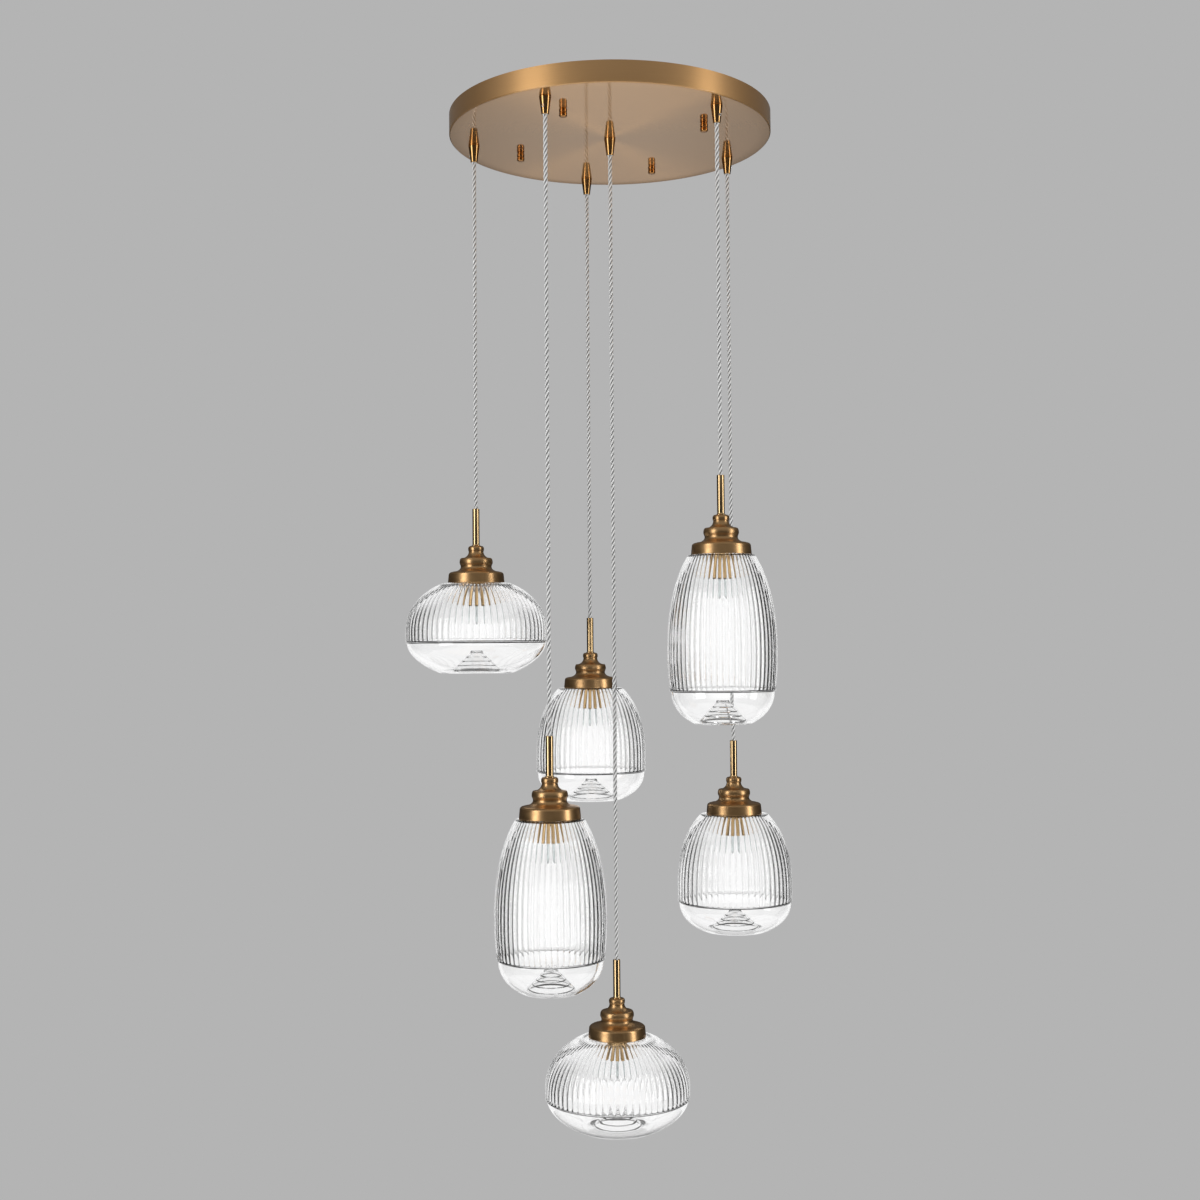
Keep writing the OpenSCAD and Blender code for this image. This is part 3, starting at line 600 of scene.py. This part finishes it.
# Bright steel of the small set screws
STEEL = plain_metal("stainless steel, turned", "D2D4D6", roughness=0.18, grain_mm=0.3)
# Drawn tungsten wire, dark grey
TUNGSTEN = plain_metal("drawn tungsten wire", "8C8A86", roughness=0.3, grain_mm=0.1)


# Plastics and ceramic

def moulded(name, colour, roughness, grain_mm):
    """Moulded or glazed matter with a faint uneven skin."""
    material, tree = new_material(name)
    where = add(tree, "ShaderNodeTexCoord").outputs["Object"]
    grain = add(tree, "ShaderNodeTexNoise", {
        "Vector": where, "Scale": 1000 / grain_mm, "Detail": 3.0,
    }).outputs[0]
    deep = [v * 0.9 for v in srgb(colour)[:3]] + [1.0]
    tint = add(tree, "ShaderNodeMix", {"Factor": grain, "A": srgb(colour), "B": deep},
               data_type="RGBA").outputs["Result"]
    relief = add(tree, "ShaderNodeBump", {
        "Height": grain, "Strength": 0.15, "Distance": 0.05 * MM,
    }).outputs[0]
    shader = add(tree, "ShaderNodeBsdfPrincipled", {
        "Base Color": tint, "Roughness": roughness, "Normal": relief,
    })
    finish_with(tree, shader)
    return material


# Unfilled polyamide as moulded: warm white, slightly matt
POLYAMIDE = moulded("polyamide, natural", "ECE7D8", roughness=0.45, grain_mm=1.2)
# Machined nylon tube: milky and smooth
NYLON = moulded("nylon tube", "E4E2DA", roughness=0.35, grain_mm=1.5)
# Steatite of the lampholder's insert, with a thin glaze
STEATITE = moulded("glazed steatite", "F0ECE2", roughness=0.22, grain_mm=2.0)
# Insulation of the earth lead
EARTH_GREEN = moulded("earth lead insulation", "7FA82E", roughness=0.4, grain_mm=1.0)


# Wires that show round a strand. Real ones are about 0.2 mm thick, which is too fine to show, so these
# are drawn about 0.6 mm wide
WIRES = 14


def clear_wire(name, lay_mm):
    """Clear insulation over tinned copper strands: silver lines under a glossy skin, with painted shade down
    the sides where a strand lies against its neighbours.
    """
    material, tree = new_material(name)
    follow = add(tree, "ShaderNodeUVMap", uv_map="strand").outputs[0]
    part = add(tree, "ShaderNodeSeparateXYZ", {0: follow}).outputs
    # The wires lie round the strand and climb with its own twist
    climb = add(tree, "ShaderNodeMath", {0: part["Y"], 1: 1000 / lay_mm}, operation="MULTIPLY").outputs[0]
    turn = add(tree, "ShaderNodeMath", {0: part["X"], 1: climb}, operation="ADD").outputs[0]
    wave = add(tree, "ShaderNodeMath", {0: turn, 1: 2 * math.pi * WIRES}, operation="MULTIPLY").outputs[0]
    wires = add(tree, "ShaderNodeMath", {0: wave}, operation="SINE").outputs[0]
    tint = add(tree, "ShaderNodeMapRange", {
        "Value": wires, "From Min": -1.0, "From Max": 1.0, "To Min": 0.0, "To Max": 1.0,
    }).outputs[0]
    tinned = add(tree, "ShaderNodeMix", {"Factor": tint, "A": srgb("E4E4E2"), "B": srgb("FFFFFF")},
                 data_type="RGBA").outputs["Result"]
    # Painted shade: a strand's sides are darkened to grey where it lies against its neighbours, since little
    # light reaches the grooves there
    inward = add(tree, "ShaderNodeMath", {0: part["X"], 1: 0.5, 2: 0.5}, operation="PINGPONG").outputs[0]
    groove = add(tree, "ShaderNodeMapRange", {
        "Value": inward, "From Min": 0.13, "From Max": 0.26, "To Min": 0.0, "To Max": 0.7,
    }, interpolation_type="SMOOTHSTEP").outputs[0]
    # The painted shade goes over the tinned wires' colour
    colour = add(tree, "ShaderNodeMix", {"Factor": groove, "A": tinned, "B": srgb("4A4A4E")},
                 data_type="RGBA").outputs["Result"]
    relief = add(tree, "ShaderNodeBump", {
        "Height": wires, "Strength": 0.35, "Distance": 0.1 * MM,
    }).outputs[0]
    shader = add(tree, "ShaderNodeBsdfPrincipled", {
        "Base Color": colour, "Metallic": 0.25, "Roughness": 0.3, "Normal": relief,
        "Coat Weight": 1.0, "Coat Roughness": 0.06,
    })
    finish_with(tree, shader)
    return material


# Three of these twisted together make the cord
CORD_WIRE = clear_wire("clear insulation over tinned copper", lay_mm=9)


# Glass

def clear_glass(name, colour, wave_mm, waviness):
    """Clear glass with faint waves in its skin."""
    material, tree = new_material(name)
    where = add(tree, "ShaderNodeTexCoord").outputs["Object"]
    wave = add(tree, "ShaderNodeTexNoise", {
        "Vector": where, "Scale": 1000 / wave_mm, "Detail": 1.0,
    }).outputs[0]
    relief = add(tree, "ShaderNodeBump", {
        "Height": wave, "Strength": waviness, "Distance": 0.4 * MM,
    }).outputs[0]
    shader = add(tree, "ShaderNodeBsdfPrincipled", {
        "Base Color": srgb(colour), "Roughness": 0.0, "IOR": 1.5, "Transmission Weight": 1.0,
        "Normal": relief,
    })
    finish_with(tree, shader)
    return material


# Pressed glass of the shades: colourless and slightly wavy, so the lines behind it waver
PRESSED_GLASS = clear_glass("pressed soda-lime glass", "FFFFFF", wave_mm=14, waviness=0.05)
# Thin quartz of the bulbs, a little darker than the shades
QUARTZ = clear_glass("quartz tube", "E8ECEC", wave_mm=6, waviness=0.02)


# Cords: three strands twisted together, each clear insulation over tinned copper

STRANDS = 3
STRAND_R = 1.38
# From the cord's axis to a strand's
STRAND_OFFSET = 1.62
# Length of cord in which a strand goes round once
CORD_LAY = 24.0


def twisted(path, offset, radius, lay, sides, per_turn):
    """Strands twisted round a path of points in millimetres; the UV map runs round and along a strand."""
    path = np.array(path, float)
    lengths = np.concatenate([[0], np.cumsum(np.linalg.norm(np.diff(path, axis=0), axis=1))])
    total = lengths[-1]
    count = max(3, round(total / lay * per_turn))
    at = np.linspace(0, total, count + 1)
    line = np.stack([np.interp(at, lengths, path[:, k]) for k in range(3)], axis=1)
    way = np.gradient(line, axis=0)
    way /= np.linalg.norm(way, axis=1)[:, None]
    side = np.zeros_like(way)
    first = np.cross(way[0], (0, 1, 0) if abs(way[0][1]) < 0.9 else (1, 0, 0))
    side[0] = first / np.linalg.norm(first)
    for k in range(1, len(way)):
        carried = side[k - 1] - way[k] * (side[k - 1] @ way[k])
        side[k] = carried / np.linalg.norm(carried)
    other = np.cross(way, side)
    points, faces, uvs = [], [], []
    for strand in range(STRANDS):
        base = len(points)
        for k in range(count + 1):
            turn = 2 * math.pi * (at[k] / lay + strand / STRANDS)
            out = math.cos(turn) * side[k] + math.sin(turn) * other[k]
            centre = line[k] + offset * out
            slope = 2 * math.pi * offset / lay
            tangent = way[k] + slope * (-math.sin(turn) * side[k] + math.cos(turn) * other[k])
            tangent /= np.linalg.norm(tangent)
            up = np.cross(tangent, out)
            for s in range(sides):
                a = 2 * math.pi * s / sides
                points.append((centre + radius * (math.cos(a) * out + math.sin(a) * up)) * MM)
        for k in range(count):
            low, high = base + k * sides, base + (k + 1) * sides
            v0, v1 = at[k] * MM, at[k + 1] * MM
            for s in range(sides):
                n = (s + 1) % sides
                faces.append((low + s, low + n, high + n, high + s))
                uvs += [(s / sides, v0), ((s + 1) / sides, v0), ((s + 1) / sides, v1), (s / sides, v1)]
        for ring in (base, base + count * sides):
            faces.append(tuple(range(ring, ring + sides)))
            uvs += [(s / sides, 0.0) for s in range(sides)]
    mesh = bpy.data.meshes.new("twisted")
    mesh.from_pydata(points, [], faces)
    mesh.uv_layers.new(name="strand").data.foreach_set("uv", np.ravel(uvs))
    return mesh, line * MM


def make_cord(lamp):
    """The cord hangs plumb from inside its grip to the lampholder's insert."""
    x, y = axis_of(lamp)
    low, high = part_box(f"cord_{lamp}")
    top, bottom = high.z / MM, low.z / MM
    ends = [(x / MM, y / MM, top), (x / MM, y / MM, bottom)]
    mesh, line = twisted(ends, STRAND_OFFSET, STRAND_R, CORD_LAY, sides=10, per_turn=14)
    cord = piece(f"twisted_cord_{lamp}", mesh, CORD_WIRE, f"hanger_{lamp}", f"cord_{lamp}",
                 angle=60)
    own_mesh(cord)


for lamp in LAMPS:
    make_cord(lamp)


# Canopy and its fittings

CANOPY_R = 225.0
CANOPY_H = 29.0
CANOPY_WALL = 1.5
CANOPY_BEVEL = 1.3
# Brass sheet brushed on a turntable and lacquered: a mirror with a soft glow from its lines, and a
# coarser brush on the side, from just past the corner of the bevel
CANOPY_BRASS = sheet_brass(
    "brushed brass sheet, lacquered", "E8B87C", "DEAC70", side_starts=(CANOPY_R - CANOPY_BEVEL + 0.1) * MM,
)


def make_canopy():
    """A spun pan: flat bottom, bevelled and slightly rounded lower edge, straight side."""
    z = -CANOPY_H
    r = CANOPY_R
    rings = 12
    outside = [(r * k / rings, z) for k in range(rings)]
    outside += rounded([
        (r * (rings - 0.5) / rings, z, 0), (r - CANOPY_BEVEL, z, 0.5), (r, z + CANOPY_BEVEL, 0.5),
        (r, 0, 0.3),
    ], 5)[1:]
    inner_r, floor_z = r - CANOPY_WALL, z + CANOPY_WALL
    inside = rounded([(r, 0, 0), (inner_r, 0, 0.3), (inner_r, floor_z, 1.0), (0, floor_z, 0)])[1:]
    mesh = lathe(outside + inside, 256)
    piece("canopy_pan", mesh, CANOPY_BRASS, "canopy_set", "canopy", angle=25)


make_canopy()


# Grips: height, radius at the canopy and how much less it is at the mouth, and the straight rim
GRIP_H = 24.5
GRIP_R = 7.9
GRIP_TAPER = 3.0
GRIP_RIM = 1.4
NIPPLE_R = 5.0
NIPPLE_H = 9.5
BUSH_R = 4.0
BUSH_L = 16.2
# Holes that the cord passes through
CORD_HOLE_R = 3.3
# Depth of the set screw below the canopy, and the radius of its head
SCREW_DROP = 14.0
SCREW_R = 2.0


def grip_places():
    """The places of the six grips, each turned so that its set screw faces outwards."""
    places = []
    for lamp in LAMPS:
        x, y = axis_of(lamp)
        places.append((x, y, CANOPY_BOTTOM, math.atan2(y, x) if lamp > 1 else math.pi / 2))
    return places


def make_grips():
    """Turned cones under the canopy with their threaded nipples and set screws."""
    outline = rounded([
        (BUSH_R, -GRIP_H, 0), (4.5, -GRIP_H, 0.15), (4.9, -GRIP_H + 0.5, 0.25), (GRIP_R, -GRIP_RIM, 0.2),
        (GRIP_R, 0, 0.15), (NIPPLE_R, 0, 0.1), (NIPPLE_R, NIPPLE_H, 0.3), (CORD_HOLE_R, NIPPLE_H, 0),
        (CORD_HOLE_R, -GRIP_H + BUSH_L, 0), (BUSH_R, -GRIP_H + BUSH_L, 0),
    ], 5)
    cones = repeated(lathe(outline, 96, closed=True), grip_places(), GRIP_BRASS)
    piece("grip_cones", cones, GRIP_BRASS, "canopy_set", "cord_grips")
    # The screw stands 0.5 mm out of the cone
    face = GRIP_R - GRIP_TAPER * (SCREW_DROP - GRIP_RIM) / (GRIP_H - GRIP_RIM) + 0.5
    outline = rounded([
        (0, face - 1.6, 0), (1.1, face - 1.6, 0), (1.15, face - 0.15, 0), (1.5, face, 0.1),
        (SCREW_R, face - 0.2, 0.15), (SCREW_R, face - 3.0, 0), (0, face - 3.0, 0),
    ])
    screw = lathe(outline, 48)
    screw.transform(Matrix.Translation((0, 0, -SCREW_DROP * MM)) @ Matrix.Rotation(math.pi / 2, 4, "Y"))
    screws = repeated(screw, grip_places(), STEEL)
    piece("grip_set_screws", screws, STEEL, "canopy_set", "grip_screws")


make_grips()


# Circle of the studs, and the angle of the first in degrees
STUD_R = 143.0
STUD_ANGLE = 64.4


def make_thumb_nuts():
    """Turned nuts: a neck, two beads with a groove between them and a rounded end, on the four studs."""
    bead_r, groove_r, neck_r, thread_r = 5.3, 4.4, 4.5, 2.55
    nut = [(0, -12.0)] + arc(3.3, -10.0, 2.0, 2.0, -90, 0, 8) + rounded([
        (bead_r, -9.9, 0), (bead_r, -6.7, 0.9), (groove_r, -6.4, 0.2), (groove_r, -5.8, 0.2),
        (bead_r, -5.5, 0.9), (bead_r, -1.2, 0.9), (neck_r, -0.9, 0.2), (neck_r, 0, 0), (thread_r, 0, 0),
        (thread_r, -8.5, 0), (0, -8.5, 0),
    ])
    places = []
    for k in range(4):
        a = math.radians(STUD_ANGLE + 90 * k)
        places.append((STUD_R * MM * math.cos(a), STUD_R * MM * math.sin(a), CANOPY_BOTTOM, a))
    nuts = repeated(lathe(nut, 72), places, NUT_BRASS)
    piece("canopy_thumb_nuts", nuts, NUT_BRASS, "canopy_set", "thumb_nuts")


make_thumb_nuts()


# Lamps

# Heights on a lamp are from the lower edge of its cap
CAP_H = 52.5
CAP_WALL = 1.0
STEM_L = 52.5
STEM_R = 5.0
# Hole in the cap and the lampholder's boss that the stem screws into
STEM_HOLE_R = 5.05
SLEEVE_R = 14.0
SLEEVE_WALL = 1.0
FLANGE_R = 24.0
INSERT_R = 12.8
RING_R = 26.0


def cap_outline():
    """The spun cap's outside, from its top to its lower edge."""
    points = [(STEM_HOLE_R, CAP_H)]
    # Bead at the top, and the cove below it
    points += arc(8.1, 48.75, 3, 3.75, 90, 0, 12)
    points += arc(10.3, 48.75, 0.8, 3.75, -10, -78, 8)
    points += arc(20.3, 45, 10, 9.6, 180, 264, 20)
    # Boss, drawn in below its middle along half a wave
    points += arc(20.8, 29.35, 2.5, 6.05, 90, 0, 16)
    points += [(21.7 + 1.6 * (1 + math.cos(math.radians(9 * k))) / 2, 35.4 - 12.1 * (0.5 + k / 40))
               for k in range(1, 21)]
    # Flare, and the rounded shoulder and straight side of the skirt
    points += arc(33.7, 23.3, 12, 7.1, 188, 266, 18)
    points += arc(34.2, 11.7, 4.5, 4.0, 90, 0, 12)
    return points + [(39.3, 6), (39.75, 0.9), (39.8, 0.35), (39.6, 0.05)]


def moved_in(points, wall):
    """The profile moved in by a wall's thickness, square to the line at each point."""
    out = []
    for k in range(1, len(points) - 1):
        a, b, c = (Vector(p) for p in points[k - 1:k + 2])
        way = (b - a).normalized() + (c - b).normalized()
        way.normalize()
        out.append((b.x - wall * -way.y, b.y - wall * way.x))
    return out


def make_cap(lamp, at):
    outside = cap_outline()
    inside = moved_in(outside, CAP_WALL)
    profile = outside + [(38.9, 0.0)] + inside[::-1] + [(STEM_HOLE_R, CAP_H - CAP_WALL)]
    mesh = lathe(profile, 160, closed=True)
    piece(f"spun_cap_{lamp}", mesh, SPUN_BRASS, f"lamp_{lamp}", f"cap_{lamp}", at,
          angle=28)


def make_stem(lamp, at):
    """A polished tube with a turned foot."""
    top = CAP_H + STEM_L
    foot_r = 6.6
    profile = rounded([
        (CORD_HOLE_R, 43.5, 0), (STEM_R, 43.5, 0.2), (STEM_R, CAP_H, 0), (foot_r, CAP_H, 0),
        (foot_r, CAP_H + 0.5, 0.2),
    ], 4)
    profile += arc(foot_r, CAP_H + 2.5, 1.6, 2.0, 258, 180, 8)
    profile += rounded([
        (STEM_R, CAP_H + 3, 0), (STEM_R, top, 0.5), (3.9, top, 0.3), (CORD_HOLE_R, top - 0.6, 0.2),
        (CORD_HOLE_R, 60, 0),
    ], 5)
    mesh = lathe(profile, 96, closed=True)
    piece(f"turned_stem_{lamp}", mesh, POLISHED_BRASS, f"lamp_{lamp}", f"stem_{lamp}", at)


def make_lampholder(lamp, at):
    """Sleeve, flange and boss in one turned piece, with a ceramic insert."""
    bore_r = SLEEVE_R - SLEEVE_WALL
    boss_r = 8.0
    profile = rounded([
        # The sleeve's lower edge
        (bore_r, -31, 0), (13.4, -31.2, 0.2), (SLEEVE_R, -30.7, 0.3),
        # The flange
        (SLEEVE_R, 9, 0), (FLANGE_R, 9, 0.3), (FLANGE_R, 11, 0.3), (SLEEVE_R, 11, 0),
        # The boss with the stem's hole
        (SLEEVE_R, 13, 0.5), (boss_r, 18, 0.5), (boss_r, 51.5, 0.2), (STEM_HOLE_R, 51.5, 0),
        (STEM_HOLE_R, 43.4, 0), (CORD_HOLE_R, 43.4, 0), (CORD_HOLE_R, 12, 0), (bore_r, 12, 0),
    ])
    piece(f"lamp_sleeve_{lamp}", lathe(profile, 112, closed=True), SLEEVE_BRASS, f"lamp_{lamp}",
          f"lampholder_{lamp}", at)
    insert = rounded([
        (0, 11.9, 0), (INSERT_R, 11.9, 0.3), (INSERT_R, -27, 0.6), (9.0, -27, 0.5), (8.4, -25.5, 0.5),
        (0, -25.5, 0),
    ])
    piece(f"ceramic_insert_{lamp}", lathe(insert, 72), STEATITE, f"lamp_{lamp}", at=at)


def make_shade_ring(lamp, at):
    """A ring round the sleeve that clamps the glass, with a spigot that centres it."""
    bore_r, spigot_r = 14.05, 20.6
    profile = rounded([
        (bore_r, 1, 0), (RING_R - 0.8, 1, 0.3), (RING_R, 1.8, 0.3), (RING_R, 6, 0.2),
        (spigot_r, 6, 0), (spigot_r, 8.6, 0.2), (bore_r, 8.6, 0),
    ])
    piece(f"clamp_ring_{lamp}", lathe(profile, 112, closed=True), SLEEVE_BRASS, f"lamp_{lamp}",
          f"shade_ring_{lamp}", at)


GLASS_T = 3.0
DISH_H = 43.0
# Neck of the glass inside the cap, and the hole in its crown
NECK_R = 36.5
CROWN_Z = 9.0
CROWN_HOLE_R = 21.0
# Bead round the end of the ribs, and how far in the dish starts below it
LIP_H = 2.0
LIP_W = 1.0
DISH_INSET = 2.0
# Cone pushed up into the base: its height, its radius at the blunt top and its widest radius
CONE_H = 28.0
CONE_TOP_R = 6.5
CONE_WIDEST_R = 34.5
# Flat ring round the cone on which the shade stands
FOOT_W = 5
# Height of the fine seam inside the glass, to either side of its middle
SEAM = 1.2
# Each kind of shade: radii of its belly, shoulder and base, how far the belly's middle and the lip are
# below the cap, its ribs, and how square the curves of its body and its dish are
KINDS = {
    ROUND: dict(belly=99.7, shoulder=47.5, middle=70.5, lip=83.5, base=50, ribs=72, curve=2.2, power=1.8),
    MIDDLE: dict(belly=82, shoulder=47.5, middle=103.5, lip=125, base=42.5, ribs=60, curve=2.3, power=2.2),
    TALL: dict(belly=72, shoulder=43.5, middle=126, lip=178, base=36, ribs=60, curve=2.15, power=2.1),
}
# Depth of a rib as a share of its width at the belly
RIB_SHARE = 0.155
STEPS_PER_RIB = 10


def oval(belly, full, middle, curve, drop):
    """Radius of a shade's oval side at a drop below the cap."""
    return belly * math.sqrt(max(0.0, 1 - (abs(drop - middle) / full) ** curve))


def cone(z, wide, grow=0.0):
    """Radius of the cone in the base at a height above the foot, grown by the glass on its inside."""
    return wide + grow - (wide - CONE_TOP_R) * z / CONE_H


def cone_rings(wide):
    """Underside of that cone: straight, with fine rings cut round it and a blunt top."""
    first, pitch, cut = 3.4, 6.0, 0.9
    blunt = CONE_H - 2.0
    points = []
    for k in range(4):
        z = first + pitch * k
        points += [(cone(z - cut, wide), z - cut), (cone(z, wide) + cut, z), (cone(z + 0.3, wide), z + 0.3)]
    return points + [(cone(blunt, wide), blunt), (0, CONE_H)]


def shade_profile(kind):
    """The glass's closed section, and how strong the ribs are at each of its points."""
    belly, shoulder, middle, lip, base, _, curve, power = KINDS[kind].values()
    full = middle / (1 - (shoulder / belly) ** 2) ** (1 / curve)
    points, strength = [], []

    def put(some, ribbed=0.0):
        for r, z in some:
            points.append((r, z))
            strength.append(ribbed(r, z) if callable(ribbed) else ribbed)

    def fade(r, z):
        near_top = min(1.0, (-z - 0.3) / 2.5)
        return min(1.0, r / belly + 0.1) * max(0.0, near_top)

    # Crown, neck and shoulder
    put(rounded([
        (CROWN_HOLE_R, 6.3, 0), (CROWN_HOLE_R, CROWN_Z, 0.5), (NECK_R, CROWN_Z, 1.2), (NECK_R, -0.1, 0.5),
        (shoulder - 0.8, -0.3, 0),
    ], 2))
    # Ribbed wall, with its rows closer together at the shoulder
    rows = 34
    edge = lip - LIP_H
    drops = [0.5 + (edge - 0.5) * (0.3 * (k / rows) ** 2 + 0.7 * k / rows) for k in range(rows + 1)]
    put([(oval(belly, full, middle, curve, d), -d) for d in drops], fade)
    # Lip
    lip_r = oval(belly, full, middle, curve, lip) + LIP_W
    put(rounded([(lip_r - 0.9, -edge - 0.1, 0), (lip_r - 0.1, -edge - 0.4, 0.3), (lip_r, -lip + 0.6, 0.4),
                 (lip_r - 0.5, -lip, 0.3), (lip_r - 2.1, -lip - 0.1, 0)], 2))
    # Dish
    dish_top = lip_r - DISH_INSET
    dish_full = DISH_H / (1 - (base / dish_top) ** power) ** (1 / power)

    def dish(depth, off):
        share = min(1.0, depth / (dish_full - off))
        return (dish_top - off) * (1 - share ** power) ** (1 / power)

    outer = [DISH_H * math.sin(math.radians(90 * k / 14)) for k in range(1, 15)]
    put([(dish(y, 0), -lip - y) for y in outer])
    # Foot and the underside of the ringed cone
    foot = -lip - DISH_H
    wide = min(base - FOOT_W, CONE_WIDEST_R)
    put([(wide + 0.5, foot), (cone(0.4, wide), foot + 0.4)])
    put([(r, foot + z) for r, z in cone_rings(wide)])
    # The inside: the cone with a stub on top, from the height above the foot where it meets the dish
    heights = (GLASS_T + k / 10 for k in range(90))
    meet = next(h for h in heights if cone(h, wide, GLASS_T) < dish(DISH_H - h, GLASS_T) - 0.2)
    stub = foot + CONE_H + GLASS_T
    put(rounded([
        (0, stub, 0), (8.2, stub, 1.2), (8.8, stub - 3, 1.5), (cone(meet, wide, GLASS_T), foot + meet, 0),
    ], 4))
    # A foot that is wide enough leaves a flat ring between the two
    if meet == GLASS_T:
        put([(dish(DISH_H - GLASS_T, GLASS_T), foot + GLASS_T)])
    back = [DISH_H - meet - 0.6 - (DISH_H - meet - 1.2) * k / 11 for k in range(12)]
    put([(dish(y, GLASS_T), -lip - y) for y in back])
    bore = belly - GLASS_T
    # A fine seam runs round the inside where the ribbed wall meets the dish
    seam = oval(bore, full - GLASS_T, middle, curve, lip)
    put([(seam, -lip - SEAM), (seam + SEAM, -lip), (seam, -lip + SEAM)])
    # The wall's inside, up to where it meets the neck or comes a glass's thickness below the shoulder,
    # and the crown
    neck = NECK_R - GLASS_T
    start = max(0.3 + GLASS_T, middle - (full - GLASS_T) * (1 - (neck / bore) ** 2) ** (1 / curve))
    drops = [start + (edge - start) * k / 14 for k in range(14, -1, -1)]
    put([(oval(bore, full - GLASS_T, middle, curve, d), -d) for d in drops])
    crown = CROWN_Z - GLASS_T
    put([(neck, -start + 0.6), (neck, crown - 0.8), (neck - 0.8, crown), (CROWN_HOLE_R + 0.4, crown)])
    return points, strength


def make_shade(lamp, at):
    kind = SHADE_OF[lamp]
    belly, ribs = KINDS[kind]["belly"], KINDS[kind]["ribs"]
    depth = RIB_SHARE * 2 * math.pi * belly / ribs
    points, strength = shade_profile(kind)
    plain = lathe(points, ribs * STEPS_PER_RIB, closed=True, strength=strength)
    mesh = grown(plain, PRESS_RIBS, {"Ribs": ribs, "Depth": depth * MM, "Finish": PRESSED_GLASS})
    piece(f"ribbed_shade_{lamp}", mesh, PRESSED_GLASS, f"lamp_{lamp}", f"shade_{lamp}",
          at, angle=25)


def make_bulb(lamp, at):
    """A quartz capsule with its filament and pinched foot."""
    tip, radius, bore_r = -58.0, 7, 5.9
    outside = [(0.0, tip)] + arc(0, tip + 1.2, 1.2, 1.2, -85, 0, 5)
    outside += arc(0, tip + radius, radius, radius, -72, 0, 12)
    outside += rounded([(radius, -50, 0), (radius, -30, 2.2), (4.5, -27.2, 1.0), (0, -27.2, 0)], 5)[1:]
    shell = lathe(outside, 64)
    hollow = [(0.0, tip + 2.2)] + arc(0, tip + 7.4, bore_r, 5.6, -80, 0, 10)
    hollow += rounded([(bore_r, -50, 0), (bore_r, -31.5, 2.0), (3.5, -29.2, 0.8), (0, -29.2, 0)], 5)[1:]
    inside = lathe(hollow, 64)
    facing_out(shell)
    facing_out(inside)
    inside.flip_normals()
    # The foot is pinched flat and nearly solid
    foot = bpy.data.meshes.new("foot")
    block = bmesh.new()
    bmesh.ops.create_cube(block, size=1.0)
    bmesh.ops.scale(block, verts=block.verts, vec=(9.6 * MM, 5.6 * MM, 11.8 * MM))
    bmesh.ops.translate(block, verts=block.verts, vec=(0, 0, -21.3 * MM))
    bmesh.ops.bevel(block, geom=block.edges, offset=0.7 * MM, segments=3, affect="EDGES")
    block.to_mesh(foot)
    block.free()
    glass = joined([shell, inside, foot])
    piece(f"quartz_bulb_{lamp}", glass, QUARTZ, f"lamp_{lamp}", f"bulb_{lamp}", at,
          angle=40, turn_out=False)
    # Eight turns of wire 8 mm long, between two legs
    coil = []
    for k in range(97):
        a = 2 * math.pi * k / 12
        coil.append((math.cos(a), math.sin(a), -47.0 + 8.0 * k / 96))
    wire = [(1.0, 0, -30.0), (1.6, 0, -40.0), (1.2, 0, -47.4)] + coil
    wire += [(0.6, 0.4, -38.0), (-1.0, 0, -36.0), (-1.0, 0, -30.0)]
    piece(f"filament_{lamp}", tube(wire, radius=0.16, sides=6), TUNGSTEN, f"lamp_{lamp}", at=at, angle=40,
          turn_out=False)


def tube(path, radius, sides):
    """A round tube along a path in millimetres, closed at both ends."""
    path = np.array(path, float)
    way = np.gradient(path, axis=0)
    way /= np.linalg.norm(way, axis=1)[:, None]
    side = np.cross(way[0], (0, 1, 0) if abs(way[0][1]) < 0.9 else (1, 0, 0))
    points, faces = [], []
    for k, (place, along) in enumerate(zip(path, way)):
        side = side - along * (side @ along)
        side /= np.linalg.norm(side)
        other = np.cross(along, side)
        for s in range(sides):
            a = 2 * math.pi * s / sides
            points.append((place + radius * (math.cos(a) * side + math.sin(a) * other)) * MM)
        if k:
            low, high = (k - 1) * sides, k * sides
            for s in range(sides):
                n = (s + 1) % sides
                faces.append((low + s, low + n, high + n, high + s))
    faces += [tuple(range(sides)), tuple(range(len(points) - sides, len(points)))]
    mesh = bpy.data.meshes.new("tube")
    mesh.from_pydata(points, [], faces)
    return mesh


for lamp in LAMPS:
    x, y = axis_of(lamp)
    at = (x, y, rim_of(lamp))
    make_cap(lamp, at)
    make_stem(lamp, at)
    make_lampholder(lamp, at)
    make_shade_ring(lamp, at)
    make_shade(lamp, at)
    make_bulb(lamp, at)


# CAD pieces that keep their shape

def finish_node(node, material):
    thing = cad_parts[node]
    for slot in thing.material_slots:
        slot.material = material


for node, material in {
    "ceiling_bracket": ZINC, "bracket_studs": ZINC, "stud_nuts": ZINC, "grip_locknuts": ZINC,
    "terminal_block": POLYAMIDE, "inner_leads": CORD_WIRE, "earth_lead": EARTH_GREEN,
}.items():
    finish_node(node, material)
for lamp in LAMPS:
    finish_node(f"grip_bush_{lamp}", NYLON)
